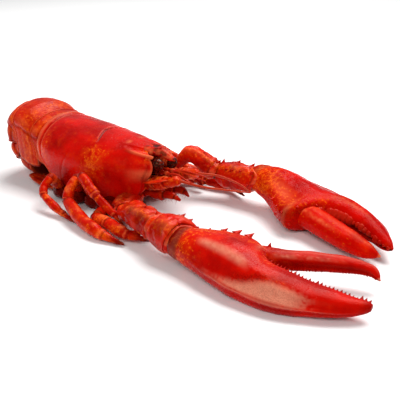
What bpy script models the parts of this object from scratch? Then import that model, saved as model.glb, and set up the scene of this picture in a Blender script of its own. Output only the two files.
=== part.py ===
"""A cooked lobster resting on its belly: claws stretched ahead, tail curled under.

Units are metres. The animal faces +X, its left side is +Y and it rests on z = 0.
While the pieces are made, x = 0 is at the eye sockets; the last step moves the whole
lobster so that the origin is the middle of its footprint.
"""

import math

import bmesh
import bpy
from mathutils import Vector

# Body: carapace length is measured from the eye sockets to the rear margin.
CARAPACE_LENGTH = 0.092
CARAPACE_WIDTH = 0.060
BACK_HEIGHT_FRONT = 0.0435
BACK_HEIGHT_REAR = 0.0517
ROSTRUM_LENGTH = 0.016
STERNUM_HALF_WIDTH = 0.012
STERNUM_FLOOR = 0.0035

# Tail: the back runs straight off the carapace and then round a half circle to the table.
TAIL_RADIUS = 0.0295
TAIL_TOP = 0.059
TAIL_STRAIGHT = 0.0195
TAIL_DIP = 0.0026
TAIL_HALF_WIDTH = 0.0272
TAIL_DEPTH = 0.020
SOMITE_LENGTHS = (0.0085, 0.0210, 0.0200, 0.0195, 0.0195, 0.0235)
TELSON_LENGTH = 0.034
FAN_THICKNESS = 0.0021

TAIL_TAPER = 0.062
TAIL_SHOULDER = 2.35

EYE_RADIUS = 0.0042
GAP = 0.0003
ROUND = 12
ACROSS = Vector((0, 1, 0))
UP = Vector((0, 0, 1))

SHELL_RED = (0.50, 0.015, 0.008)
LIMB_RED = (0.60, 0.06, 0.012)
FAN_RED = (0.55, 0.05, 0.02)
EYE_BLACK = (0.012, 0.008, 0.008)


# ---------------------------------------------------------------- shape helpers

def at(rows, t):
    """Values at t on the smooth curve through rows of (t, value, value, ...)."""
    t = min(max(t, rows[0][0]), rows[-1][0])
    last = len(rows) - 1
    k = 0
    while k < last - 1 and t > rows[k + 1][0]:
        k += 1
    here, there = rows[k], rows[k + 1]
    before = rows[max(k - 1, 0)]
    after = rows[min(k + 2, last)]
    span = there[0] - here[0]
    f = (t - here[0]) / span
    values = []
    for a, b, c, d in zip(before[1:], here[1:], there[1:], after[1:]):
        slope_here = (c - a) / (there[0] - before[0]) * span
        slope_there = (d - b) / (after[0] - here[0]) * span
        values.append(
            (2 * f**3 - 3 * f**2 + 1) * b
            + (f**3 - 2 * f**2 + f) * slope_here
            + (3 * f**2 - 2 * f**3) * c
            + (f**3 - f**2) * slope_there
        )
    return values


def steps(count, start=0.0, end=1.0):
    """Evenly spaced values from start to end, both included."""
    return [start + (end - start) * i / (count - 1) for i in range(count)]


def smooth_fall(distance):
    """1 at a distance of 0, falling smoothly to 0 at 1."""
    f = min(max(1 - distance, 0), 1)
    return f * f * (3 - 2 * f)


def signed_power(value, power):
    return math.copysign(abs(value) ** power, value)


def ring(centre, side, up, wide, high, low, count=ROUND, squareness=2.0):
    """Points round a section, given its half-width and its height above and below."""
    points = []
    for i in range(count):
        angle = math.tau * i / count
        across = wide * signed_power(math.cos(angle), 2 / squareness)
        upright = signed_power(math.sin(angle), 2 / squareness)
        upright *= high if upright > 0 else low
        points.append(centre + across * side + upright * up)
    return points


def loft(rings):
    """A closed skin through the rings. An end ring of one point closes to a tip."""
    bm = bmesh.new()
    rows = [[bm.verts.new(point) for point in points] for points in rings]
    for row, following in zip(rows, rows[1:]):
        count = max(len(row), len(following))
        for i in range(count):
            j = (i + 1) % count
            corners = [
                row[i % len(row)],
                row[j % len(row)],
                following[j % len(following)],
                following[i % len(following)],
            ]
            bm.faces.new(list(dict.fromkeys(corners)))
    for row in (rows[0], rows[-1]):
        if len(row) > 1:
            bm.faces.new(row)
    bmesh.ops.recalc_face_normals(bm, faces=bm.faces[:])
    return bm


def cut_back(bm, point, outward):
    """Cuts off what lies past half a gap short of the plane, and closes the cut."""
    normal = outward.normalized()
    everything = bm.verts[:] + bm.edges[:] + bm.faces[:]
    bmesh.ops.bisect_plane(
        bm, geom=everything, plane_co=point - normal * GAP / 2,
        plane_no=normal, clear_outer=True,
    )
    rim = [edge for edge in bm.edges if edge.is_boundary]
    bmesh.ops.holes_fill(bm, edges=rim, sides=0)


def material(name, colour, roughness):
    """A Principled material made once for each name."""
    found = bpy.data.materials.get(name)
    if found:
        return found
    made = bpy.data.materials.new(name)
    made.use_nodes = True
    surface = made.node_tree.nodes["Principled BSDF"]
    surface.inputs["Base Color"].default_value = (*colour, 1)
    surface.inputs["Roughness"].default_value = roughness
    surface.inputs["Metallic"].default_value = 0
    made.diffuse_color = (*colour, 1)
    return made


def add_part(name, bm, colour=LIMB_RED, roughness=0.25):
    """Puts a finished mesh into the lobster's collection as a named part."""
    mesh = bpy.data.meshes.new(name)
    bm.to_mesh(mesh)
    bm.free()
    mesh.shade_smooth()
    mesh.set_sharp_from_angle(angle=math.radians(40))
    mesh.materials.append(material(name, colour, roughness))
    part = bpy.data.objects.new(name, mesh)
    lobster.objects.link(part)
    return part


def path_rings(points, rows, count, around, flatness, up_hint, squareness=2.0):
    """Rings along the smooth path through points, with radii from rows of (t, radius)."""
    knots = [(i / (len(points) - 1), *point) for i, point in enumerate(points)]
    rings = []
    for t in steps(count):
        centre = Vector(at(knots, t))
        ahead = (Vector(at(knots, t + 0.02)) - Vector(at(knots, t - 0.02))).normalized()
        side = ahead.cross(up_hint).normalized()
        up = side.cross(ahead)
        radius = at(rows, t)[0]
        rings.append(ring(centre, side, up, radius, radius * flatness,
                          radius * flatness, around, squareness))
    return rings


def limb_chain(names, joints, radii, sections, around, flatness, end_plane=None):
    """Segments end to end, cut at the sternum, at each joint and at the end plane.

    joints holds one list of path points for each segment; radii one set of rows.
    Without an end plane the last segment closes to a tip.
    """
    for index, name in enumerate(names):
        points = [Vector(point) for point in joints[index]]
        rings = path_rings(points, radii[index], sections, around, flatness, UP)
        is_last = index == len(names) - 1
        if is_last and end_plane is None:
            rings.append([points[-1] + (points[-1] - points[-2]).normalized() * 0.001])
        bm = loft(rings)
        if index == 0:
            behind = points[0].x - radii[0][0][1]
            side = math.copysign(1, points[0].y)
            wall = Vector((0, side * (sternum_half_width(behind) + GAP), 0))
            cut_back(bm, wall, Vector((0, -side, 0)))
        else:
            cut_back(bm, *joint_plane(joints[index - 1], joints[index], backwards=True))
        if not is_last:
            cut_back(bm, *joint_plane(joints[index], joints[index + 1]))
        elif end_plane is not None:
            cut_back(bm, *end_plane)
        add_part(name, bm)


def joint_plane(first, second, backwards=False):
    """The plane that halves the bend between two segments, as a point and a normal."""
    corner = Vector(first[-1])
    arriving = (corner - Vector(first[-2])).normalized()
    leaving = (Vector(second[1]) - corner).normalized()
    normal = (arriving + leaving).normalized()
    return corner, -normal if backwards else normal


# ---------------------------------------------------------------- cephalothorax

# From the eye sockets (0) to the rear margin (1): width as a share of the greatest
# width, height of the widest line and height of the lower margin.
CARAPACE_ROWS = (
    (0.00, 0.467, 0.030, 0.0180),
    (0.12, 0.700, 0.029, 0.0152),
    (0.25, 0.850, 0.028, 0.0105),
    (0.50, 0.975, 0.027, 0.0082),
    (0.75, 1.000, 0.029, 0.0082),
    (0.90, 0.967, 0.031, 0.0085),
    (1.00, 0.883, 0.033, 0.0095),
)
MARGIN_ANGLE = math.radians(135)
MARGIN_LIP = 0.002
MARGIN_WIDTH = 0.006
UNDERSIDE_RISE = 0.004
BACK_BOW = 0.0013
SOCKET_SLANT = 0.002
STERNUM_CHIN = 0.15
STERNUM_CHIN_SLOPE = 0.055
STERNUM_STATIONS = (0.02, 0.05, 0.12, 0.2, 0.3, 0.4, 0.6, 0.8, 0.95)
CARAPACE_STATIONS = (0, 0.05, 0.12, 0.2, 0.3, 0.4, 0.5, 0.6, 0.7, 0.8, 0.88, 0.95, 1)

# From its root in the back (0) to its tip (1): half-width, height of its middle line,
# height above that line and depth below it.
ROSTRUM_ROOT = 0.016
ROSTRUM_ROWS = (
    (0.00, 0.0086, 0.0408, 0.0030, 0.0040),
    (0.25, 0.0080, 0.0412, 0.0036, 0.0040),
    (0.50, 0.0064, 0.0412, 0.0037, 0.0034),
    (0.68, 0.0048, 0.0411, 0.0037, 0.0030),
    (0.79, 0.0036, 0.0402, 0.0031, 0.0025),
    (0.89, 0.0023, 0.0388, 0.0022, 0.0018),
    (1.00, 0.0006, 0.0378, 0.0006, 0.0006),
)


def back_height(s):
    """Height of the mid line of the back, s running from the sockets to the rear."""
    slope = BACK_HEIGHT_FRONT + (BACK_HEIGHT_REAR - BACK_HEIGHT_FRONT) * s
    return slope + BACK_BOW * math.sin(math.pi * s)


def underside_height(s):
    """Height of the body wall between the two margins, where the sternum fits."""
    return at(CARAPACE_ROWS, s)[2] + UNDERSIDE_RISE


def margin_reach(s):
    """Half the distance between the two lower margins."""
    return at(CARAPACE_ROWS, s)[0] * CARAPACE_WIDTH / 2 * math.sin(MARGIN_ANGLE)


def sternum_half_width(x):
    """Half-width of the sternum, which narrows between the margins of the head."""
    return min(STERNUM_HALF_WIDTH, margin_reach(-x / CARAPACE_LENGTH) - MARGIN_WIDTH - GAP)


def carapace_ring(s):
    """One cross-section of the carapace: an arch over the back, closed underneath."""
    share, widest, margin = at(CARAPACE_ROWS, s)
    half_width = share * CARAPACE_WIDTH / 2
    top = back_height(s)
    x = -s * CARAPACE_LENGTH
    points = []
    for angle in steps(19, -MARGIN_ANGLE, MARGIN_ANGLE):
        fall = (1 - math.cos(angle)) / 2
        slant = SOCKET_SLANT * (1 - s) ** 6 * fall
        drop = math.cos(angle)
        below = (widest - margin) / -math.cos(MARGIN_ANGLE)
        z = widest + drop * (top - widest if drop > 0 else below)
        points.append(Vector((x - slant, half_width * math.sin(angle), z)))
    y = margin_reach(s)
    x = points[-1].x
    floor = underside_height(s)
    inner = (y - MARGIN_LIP, margin + MARGIN_LIP / 4), (y - MARGIN_WIDTH, floor), (0, floor)
    points += [Vector((x, across, z)) for across, z in inner]
    points += [Vector((x, -across, z)) for across, z in reversed(inner[:-1])]
    return points


def make_carapace():
    """The shell over head and thorax with the rostrum between the eyes."""
    bm = loft([carapace_ring(s) for s in CARAPACE_STATIONS])
    carapace = add_part("carapace", bm, SHELL_RED, 0.2)
    rings = []
    for t in (0, 0.25, 0.5, 0.64, 0.76, 0.88, 1):
        half_width, middle, high, low = at(ROSTRUM_ROWS, t)
        x = (ROSTRUM_LENGTH + ROSTRUM_ROOT) * t - ROSTRUM_ROOT
        rings.append(ring(Vector((x, 0, middle)), ACROSS, UP, half_width, high, low, 10, 2.5))
    rostrum = bpy.data.objects.new("rostrum_cutter", bpy.data.meshes.new("rostrum"))
    skin = loft(rings)
    skin.to_mesh(rostrum.data)
    skin.free()
    cutters.objects.link(rostrum)
    rostrum.hide_render = True
    rostrum.display_type = "WIRE"
    union = carapace.modifiers.new("rostrum", "BOOLEAN")
    union.operation = "UNION"
    union.object = rostrum


def make_sternum():
    """The narrow underside that the legs grow from."""
    rings = []
    for s in STERNUM_STATIONS:
        top = underside_height(s) - 3 * GAP
        bottom = STERNUM_FLOOR + STERNUM_CHIN_SLOPE * max(STERNUM_CHIN - s, 0)
        centre = Vector((-s * CARAPACE_LENGTH, 0, (top + bottom) / 2))
        half_height = (top - bottom) / 2
        rings.append(ring(centre, ACROSS, UP, sternum_half_width(centre.x),
                          half_height, half_height, 12, 5))
    add_part("sternum", loft(rings))


# ------------------------------------------------------------------------- tail

WAIST = 0.93
BELLY_EDGE = 0.0008

# How far each ring's side lappet hangs below the body of the tail, and how much of it
# hangs straight down instead of along the ring.
LAPPETS = ((0.0100, 1), (0.0170, 1), (0.0150, 1), (0.0080, 0.4), (0.0055, 0), (0.0055, 0))

# Along each tail ring, from its front to its rear: width factor and lappet reach.
SOMITE_ROWS = (
    (0.0, 0.965, 0.10),
    (0.3, 1.000, 0.60),
    (0.65, 1.010, 1.00),
    (1.0, 0.990, 0.55),
)


def tail_path(a):
    """The mid line of the tail's back at arc length a: a point and the way out of it."""
    dip = UP * TAIL_DIP * smooth_fall(abs(a - 0.012) / 0.022)
    if a < TAIL_STRAIGHT:
        f = a / TAIL_STRAIGHT
        tilt = math.radians(7) * (f - 1)
        start = Vector((-CARAPACE_LENGTH, 0, BACK_HEIGHT_REAR))
        end = Vector((-CARAPACE_LENGTH - TAIL_STRAIGHT, 0, TAIL_TOP))
        return start.lerp(end, f) - dip, Vector((-math.sin(tilt), 0, math.cos(tilt)))
    turn = (a - TAIL_STRAIGHT) / TAIL_RADIUS
    fullness = TAIL_SHOULDER if turn < math.pi / 2 else 2
    reach = Vector((-signed_power(math.sin(turn), 2 / fullness), 0,
                    signed_power(math.cos(turn), 2 / fullness)))
    outward = Vector((-signed_power(math.sin(turn), 2 - 2 / fullness), 0,
                      signed_power(math.cos(turn), 2 - 2 / fullness)))
    hub = Vector((-CARAPACE_LENGTH - TAIL_STRAIGHT, 0, TAIL_TOP - TAIL_RADIUS))
    return hub + reach * TAIL_RADIUS - dip, outward.normalized()


def somite_ring(a, half_width, pleuron, plumb):
    """A cross-section of the tail: an arched back, side lappets and a flat belly."""
    point, outward = tail_path(a)
    widest = 0.62 * TAIL_DEPTH
    outline = []
    for angle in steps(7, 0, math.pi / 2):
        outline.append((half_width * math.sin(angle), widest * (1 - math.cos(angle))))
    tip = TAIL_DEPTH + pleuron
    outline += [
        (0.98 * half_width, TAIL_DEPTH),
        (0.95 * half_width, tip - 0.0012),
        (0.92 * half_width, tip),
        (0.88 * half_width, tip - 0.0005),
        (0.84 * half_width, TAIL_DEPTH + BELLY_EDGE / 2),
        (0, TAIL_DEPTH),
    ]

    def place(across, depth):
        hanging = plumb * max(depth - TAIL_DEPTH, 0)
        return point - outward * (depth - hanging) - UP * hanging + ACROSS * across

    left = [place(across, depth) for across, depth in outline]
    right = [place(-across, depth) for across, depth in outline[-2:0:-1]]
    return left + right


def make_tail():
    """Six rings, each narrower than the one before and tucked under it."""
    start = 0
    for number, length in enumerate(SOMITE_LENGTHS, 1):
        taper = 1 - TAIL_TAPER * (number - 1)
        hang, plumb = LAPPETS[number - 1]
        rings = []
        for t in steps(5):
            a = start + GAP / 2 + (length - GAP) * t
            width, lappet = at(SOMITE_ROWS, t)
            if number <= 2:
                lappet = 0.80 + 0.20 * math.sin(math.pi * t)
            half_width = TAIL_HALF_WIDTH * taper * width * (WAIST if number == 1 else 1)
            rings.append(somite_ring(a, half_width, BELLY_EDGE + hang * lappet,
                                     plumb * (1 if number <= 2 else 1 - t**2)))
        add_part(f"somite_{number}", loft(rings), SHELL_RED, 0.25)
        start += length


def plate_ring(centre, ahead, half_width, thickness):
    """A cross-section of a fan plate that lies flat: flat below, domed above."""
    side = Vector((-ahead.y, ahead.x, 0))
    outline = ((-1, 0.5), (-0.9, 0), (0, 0), (0.9, 0), (1, 0.5), (0.6, 0.9), (0, 1), (-0.6, 0.9))
    return [centre + side * across * half_width + Vector((0, 0, z * thickness))
            for across, z in outline]


def fan_plate(name, root, heading, length, rows):
    """A plate of the tail fan, from its root along its heading in degrees."""
    ahead = Vector((math.cos(math.radians(heading)), math.sin(math.radians(heading)), 0))
    rings = []
    for t in (0, 0.12, 0.3, 0.5, 0.7, 0.85, 0.95, 1):
        half_width, thickness = at(rows, t)
        rings.append(plate_ring(Vector(root) + ahead * length * t, ahead, half_width,
                                thickness * FAN_THICKNESS))
    add_part(name, loft(rings), FAN_RED, 0.3)


def make_fan():
    """Telson and two pairs of uropods, lying on the table with their backs down."""
    end, _ = tail_path(sum(SOMITE_LENGTHS))
    x = end.x + 2 * GAP
    telson = ((0, 0.0085, 1.3), (0.15, 0.0098, 1.1), (0.6, 0.0088, 0.9), (0.9, 0.0070, 0.6),
              (1, 0.0045, 0.5))
    fan_plate("telson", (x, 0, 0), 0, TELSON_LENGTH, telson)
    inner = ((0, 0.0030, 1.2), (0.3, 0.0056, 1.0), (0.65, 0.0064, 0.8), (0.9, 0.0050, 0.6),
             (1, 0.0028, 0.4))
    outer = ((0, 0.0030, 1.2), (0.3, 0.0064, 1.0), (0.65, 0.0076, 0.8), (0.9, 0.0060, 0.6),
             (1, 0.0032, 0.4))
    for side, sign in (("left", 1), ("right", -1)):
        fan_plate(f"uropod_inner_{side}", (x + 0.001, sign * 0.0142, 0), sign * 6, 0.034, inner)
        fan_plate(f"uropod_outer_{side}", (x, sign * 0.0185, 1.4 * FAN_THICKNESS), sign * 6,
                  0.0362, outer)


# ------------------------------------------------------------------------ claws

# Along a claw from wrist (0) to tip (1), as fractions of its length: outer edge,
# inner edge, height above and depth below its middle plane.
CUTTER_ROWS = (
    (0.00, -0.098, 0.068, 0.066, 0.068),
    (0.06, -0.120, 0.088, 0.084, 0.084),
    (0.15, -0.150, 0.108, 0.098, 0.098),
    (0.28, -0.200, 0.122, 0.110, 0.106),
    (0.38, -0.236, 0.112, 0.110, 0.104),
    (0.44, -0.246, 0.060, 0.106, 0.100),
    (0.50, -0.252, -0.010, 0.100, 0.092),
    (0.60, -0.254, -0.040, 0.090, 0.082),
    (0.72, -0.236, -0.050, 0.074, 0.068),
    (0.84, -0.196, -0.054, 0.056, 0.052),
    (0.93, -0.150, -0.056, 0.040, 0.034),
    (0.98, -0.116, -0.052, 0.030, 0.018),
    (1.00, -0.097, -0.057, 0.020, 0.007),
)
CRUSHER_ROWS = (
    (0.00, -0.104, 0.062, 0.086, 0.070),
    (0.05, -0.136, 0.062, 0.090, 0.078),
    (0.13, -0.170, 0.064, 0.095, 0.100),
    (0.21, -0.188, 0.080, 0.092, 0.123),
    (0.33, -0.205, 0.126, 0.084, 0.128),
    (0.425, -0.218, 0.156, 0.080, 0.118),
    (0.48, -0.226, 0.130, 0.080, 0.113),
    (0.537, -0.230, -0.005, 0.077, 0.105),
    (0.63, -0.235, -0.063, 0.071, 0.091),
    (0.74, -0.219, -0.078, 0.061, 0.072),
    (0.85, -0.183, -0.072, 0.047, 0.055),
    (0.936, -0.139, -0.056, 0.035, 0.039),
    (0.98, -0.110, -0.056, 0.022, 0.024),
    (1.00, -0.093, -0.065, 0.011, 0.011),
)

# Middle lines of the moving fingers, from inside the palm to the tip.
RIGHT_FINGER = (
    (0.110, -0.0445, 0.0135), (0.1260, -0.0385, 0.0138), (0.1420, -0.0300, 0.0140),
    (0.1580, -0.0215, 0.0136), (0.1690, -0.0172, 0.0120), (0.1750, -0.0180, 0.0085),
)
LEFT_FINGER = (
    (0.090, 0.0330, 0.0125), (0.1050, 0.0270, 0.0118), (0.1220, 0.0205, 0.0108),
    (0.1380, 0.0150, 0.0095), (0.1520, 0.0120, 0.0080), (0.1600, 0.0135, 0.0060),
)
CUTTER_FINGER_RADII = (
    (0.0, 0.0066), (0.2, 0.0067), (0.5, 0.0056), (0.75, 0.0042), (0.92, 0.0022), (1.0, 0.0006),
)
CRUSHER_FINGER_RADII = (
    (0.0, 0.0085), (0.2, 0.0090), (0.5, 0.0080), (0.75, 0.0061), (0.92, 0.0032), (1.0, 0.0008),
)


HINGE_SLANT = 0.75
CLAW_STATIONS = (0, 0.05, 0.12, 0.2, 0.3, 0.38, 0.44, 0.5, 0.57, 0.66, 0.75, 0.84, 0.92, 0.97, 1)


def claw_axes(wrist, tip, sign, roll):
    """Along, inward and up for a claw; sign is +1 on the left side."""
    along = (Vector(tip) - Vector(wrist)).normalized()
    inward = UP.cross(along).normalized() * -sign
    up = (UP - along * along.z).normalized()
    turned_in = inward * math.cos(roll) + up * math.sin(roll)
    turned_up = up * math.cos(roll) - inward * math.sin(roll)
    return along, turned_in, turned_up


def make_claw(side, sign, arm, tip, roll, rows, finger, finger_radii, hinge):
    """Palm with its fixed finger as one solid, and the moving finger as another."""
    wrist, tip = Vector(arm[-1][-1]), Vector(tip)
    size = (tip - wrist).length
    along, inward, up = claw_axes(wrist, tip, sign, math.radians(roll))
    table = Vector((0, 0, -GAP / 2)), Vector((0, 0, -1))
    rings = []
    for t in CLAW_STATIONS:
        outer, inner, high, low = (value * size for value in at(rows, t))
        centre = wrist + along * t * size + inward * (outer + inner) / 2
        rings.append(ring(centre, inward, up, (inner - outer) / 2, high, low, 14, 2.2))
    palm = loft(rings)
    cut_back(palm, *table)
    cut_back(palm, *joint_plane(arm[-1], (wrist, tip), backwards=True))
    add_part(f"claw_{side}", palm)

    moving = loft(path_rings([Vector(point) for point in finger], finger_radii, 9, 10, 0.85, up))
    pivot = wrist + (along * hinge[0] + inward * hinge[1]) * size
    cut_back(moving, pivot, -(along + inward * HINGE_SLANT))
    cut_back(moving, *table)
    add_part(f"finger_{side}", moving)


# Joint by joint: ischium, merus and carpus of each claw arm.
RIGHT_ARM = (
    ((-0.013, -0.006, 0.0095), (-0.008, -0.025, 0.0075), (0.003, -0.0355, 0.0100)),
    ((0.003, -0.0355, 0.0100), (0.025, -0.0460, 0.0145), (0.0485, -0.0527, 0.0160)),
    ((0.0485, -0.0527, 0.0160), (0.0575, -0.0550, 0.0158), (0.0650, -0.0552, 0.0140)),
)
LEFT_ARM = (
    ((-0.012, 0.006, 0.0095), (-0.010, 0.018, 0.0110), (-0.008, 0.0275, 0.0200)),
    ((-0.008, 0.0275, 0.0200), (0.0015, 0.0355, 0.0285), (0.0195, 0.0415, 0.0190)),
    ((0.0195, 0.0415, 0.0190), (0.034, 0.0455, 0.0172), (0.0490, 0.0465, 0.0187)),
)
RIGHT_ARM_RADII = (
    ((0, 0.0050), (0.15, 0.0062), (0.5, 0.0072), (0.85, 0.0070), (0.95, 0.0068), (1, 0.0060)),
    ((0, 0.0056), (0.12, 0.0070), (0.5, 0.0090), (0.86, 0.0096), (0.95, 0.0095), (1, 0.0082)),
    ((0, 0.0072), (0.14, 0.0108), (0.4, 0.0130), (0.7, 0.0130), (0.88, 0.0119), (1, 0.0095)),
)
LEFT_ARM_RADII = (
    ((0, 0.0046), (0.15, 0.0052), (0.5, 0.0050), (0.85, 0.0050), (0.95, 0.0049), (1, 0.0044)),
    ((0, 0.0040), (0.12, 0.0048), (0.5, 0.0058), (0.86, 0.0072), (0.95, 0.0072), (1, 0.0064)),
    ((0, 0.0056), (0.14, 0.0088), (0.4, 0.0104), (0.7, 0.0107), (0.88, 0.0104), (1, 0.0088)),
)


# Where the long axis of each claw ends, just inside the tip of its fixed finger.
RIGHT_CLAW_TIP = (0.1830, -0.0373, 0.0088)
LEFT_CLAW_TIP = (0.1610, 0.0125, 0.0075)


def make_arms_and_claws():
    """Both claw arms; each carpus ends where its palm starts."""
    for side, sign, arm, radii, tip, roll, rows, finger, finger_radii, hinge in (
        ("right", -1, RIGHT_ARM, RIGHT_ARM_RADII, RIGHT_CLAW_TIP, 10, CUTTER_ROWS,
         RIGHT_FINGER, CUTTER_FINGER_RADII, (0.47, 0.05)),
        ("left", 1, LEFT_ARM, LEFT_ARM_RADII, LEFT_CLAW_TIP, -8, CRUSHER_ROWS,
         LEFT_FINGER, CRUSHER_FINGER_RADII, (0.546, 0.056)),
    ):
        names = [f"{piece}_{side}" for piece in ("ischium", "merus", "carpus")]
        wrist_plane = joint_plane(arm[-1], (arm[-1][-1], tip))
        limb_chain(names, arm, radii, 7, 10, 0.9, wrist_plane)
        make_claw(side, sign, arm, tip, roll, rows, finger, finger_radii, hinge)


# ------------------------------------------------------------------------- legs

# Joint points of the walking legs, first pair to fourth: hip, under the margin and
# knee; knee to wrist; wrist to tip.
RIGHT_LEGS = (
    (((-0.025, -0.008, 0.006), (-0.023, -0.026, 0.0045), (-0.0119, -0.0485, 0.0052)),
     ((-0.0119, -0.0485, 0.0052), (-0.0051, -0.0502, 0.0060), (0.0019, -0.0510, 0.0062)),
     ((0.0019, -0.0510, 0.0062), (0.0149, -0.0535, 0.0056), (0.0236, -0.0545, 0.0050),
      (0.0381, -0.0490, 0.0030))),
    (((-0.040, -0.008, 0.006), (-0.039, -0.022, 0.0045), (-0.0333, -0.0386, 0.0264)),
     ((-0.0333, -0.0386, 0.0264), (-0.0245, -0.0416, 0.0230), (-0.0157, -0.0434, 0.0183)),
     ((-0.0157, -0.0434, 0.0183), (-0.004, -0.0428, 0.0104), (0.0075, -0.0420, 0.0030))),
    (((-0.056, -0.008, 0.006), (-0.054, -0.022, 0.0045), (-0.0408, -0.0367, 0.0230)),
     ((-0.0408, -0.0367, 0.0230), (-0.0396, -0.0440, 0.0176), (-0.0376, -0.0490, 0.0112)),
     ((-0.0376, -0.0490, 0.0112), (-0.0169, -0.0575, 0.0072), (0.0014, -0.0622, 0.0050),
      (0.0143, -0.0624, 0.0034), (0.0253, -0.0612, 0.0018))),
    (((-0.072, -0.008, 0.006), (-0.070, -0.023, 0.0045), (-0.062, -0.042, 0.020)),
     ((-0.062, -0.042, 0.020), (-0.062, -0.048, 0.015), (-0.0585, -0.052, 0.011)),
     ((-0.0585, -0.052, 0.011), (-0.041, -0.0545, 0.005), (-0.021, -0.0568, 0.0018))),
)
LEG_RADII = (
    ((0, 0.0032), (0.3, 0.0029), (0.6, 0.0033), (0.88, 0.0037), (1, 0.0034)),
    ((0, 0.0031), (0.15, 0.0034), (0.5, 0.0035), (0.85, 0.0037), (1, 0.0031)),
    ((0, 0.0030), (0.1, 0.0035), (0.35, 0.0037), (0.58, 0.0032), (0.69, 0.0024),
     (0.9, 0.0014), (1, 0.0006)),
)
# How stout each pair is beside that: its wrist and its last segment.
STOUTNESS = ((1.22, 1.24), (0.98, 0.82), (1.00, 1.25), (0.86, 0.78))


def make_legs():
    """Four pairs of walking legs, folded along the body."""
    for side, sign in (("right", -1), ("left", 1)):
        for number, leg in enumerate(RIGHT_LEGS, 1):
            joints = [[(x, -sign * y, z) for x, y, z in piece] for piece in leg]
            names = [f"leg_{number}_{piece}_{side}" for piece in ("upper", "wrist", "lower")]
            radii = [[(t, radius * stout) for t, radius in rows]
                     for rows, stout in zip(LEG_RADII, (1.0, *STOUTNESS[number - 1]))]
            limb_chain(names, joints, radii, 5, 8, 1.0)


# ------------------------------------------------------------------------- head

# Path points of the eyes, which differ, and of the left one of each other pair.
EYE_PATHS = {
    "left": ((-0.0060, 0.0030, 0.0325), (0.0025, 0.0060, 0.0322), (0.0092, 0.0104, 0.0318)),
    "right": ((-0.0060, -0.0030, 0.0330), (0.0035, -0.0058, 0.0340), (0.0112, -0.0100, 0.0366)),
}
EYE_RADII = (
    (0, 0.0024), (0.5, 0.0031), (0.60, 0.0036), (0.76, EYE_RADIUS), (0.88, 0.0036), (1, 0.0010),
)
ANTENNA_BASE_PATH = ((-0.005, 0.0088, 0.0200), (0.011, 0.0100, 0.0236), (0.028, 0.0095, 0.0285))
ANTENNA_BASE_RADII = (
    (0, 0.0050), (0.3, 0.0055), (0.42, 0.0044), (0.6, 0.0046), (0.72, 0.0034), (1, 0.0022),
)
ANTENNULE_PATH = ((-0.001, 0.0028, 0.0272), (0.016, 0.0034, 0.0290), (0.038, 0.0048, 0.0270))
ANTENNULE_RADII = ((0, 0.0016), (0.35, 0.0015), (0.45, 0.0008), (1, 0.0004))
MOUTH_LEG_PATH = (
    (-0.006, 0.0058, 0.0135), (0.006, 0.0064, 0.0130), (0.017, 0.0056, 0.0148),
    (0.0235, 0.0046, 0.0128),
)
MOUTH_LEG_RADII = ((0, 0.0030), (0.3, 0.0036), (0.7, 0.0026), (1, 0.0010))

# Routes of the two whips, which differ: each starts at the end of its base.
WHIP_RADIUS = 0.0010
RIGHT_WHIP = (
    (0.0284, -0.0095, 0.0287), (0.0420, -0.0048, 0.0268), (0.0520, 0.0030, 0.0250),
    (0.0600, 0.0090, 0.0238), (0.0670, 0.0140, 0.0230),
)
LEFT_WHIP = (
    (0.0284, 0.0095, 0.0287), (0.0400, 0.0150, 0.0282), (0.0490, 0.0190, 0.0256),
    (0.0560, 0.0212, 0.0228), (0.0620, 0.0222, 0.0195),
)


def mirrored(path, sign):
    """The left side's path, or its mirror image on the right side."""
    return [Vector((x, sign * y, z)) for x, y, z in path]


def add_whip(name, route):
    """A long thin feeler as a bevelled curve that thins towards its end."""
    curve = bpy.data.curves.new(name, "CURVE")
    curve.dimensions = "3D"
    curve.bevel_depth = WHIP_RADIUS
    curve.bevel_resolution = 2
    curve.use_fill_caps = True
    knots = [(i / (len(route) - 1), *point) for i, point in enumerate(route)]
    count = 13
    spline = curve.splines.new("POLY")
    spline.points.add(count - 1)
    for point, t in zip(spline.points, steps(count)):
        point.co = (*at(knots, t), 1)
        point.radius = 1 - 0.6 * t
    curve.materials.append(material("whip", LIMB_RED, 0.3))
    whip = bpy.data.objects.new(name, curve)
    lobster.objects.link(whip)


def make_head():
    """Eyes on short stalks, two pairs of feelers and the last pair of mouth legs."""
    brow = Vector((GAP, 0, 0)), Vector((-1, 0, 0))
    chest = Vector((GAP - 0.0018, 0, 0)), Vector((-1, 0, 0))
    for side, sign in (("left", 1), ("right", -1)):
        for name, path, radii, around, flatness in (
            ("eye", EYE_PATHS[side], EYE_RADII, 10, 1.0),
            ("antenna_base", ANTENNA_BASE_PATH, ANTENNA_BASE_RADII, 10, 0.85),
            ("antennule", ANTENNULE_PATH, ANTENNULE_RADII, 6, 1.0),
            ("mouth_leg", MOUTH_LEG_PATH, MOUTH_LEG_RADII, 8, 0.9),
        ):
            route = path if name == "eye" else mirrored(path, sign)
            bm = loft(path_rings(route, radii, 9, around, flatness, UP))
            cut_back(bm, *(chest if name == "mouth_leg" else brow))
            if name == "eye":
                add_part(f"{name}_{side}", bm, EYE_BLACK, 0.1)
            else:
                add_part(f"{name}_{side}", bm)
    add_whip("antenna_right", RIGHT_WHIP)
    add_whip("antenna_left", LEFT_WHIP)


# --------------------------------------------------------------------- assembly

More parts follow.
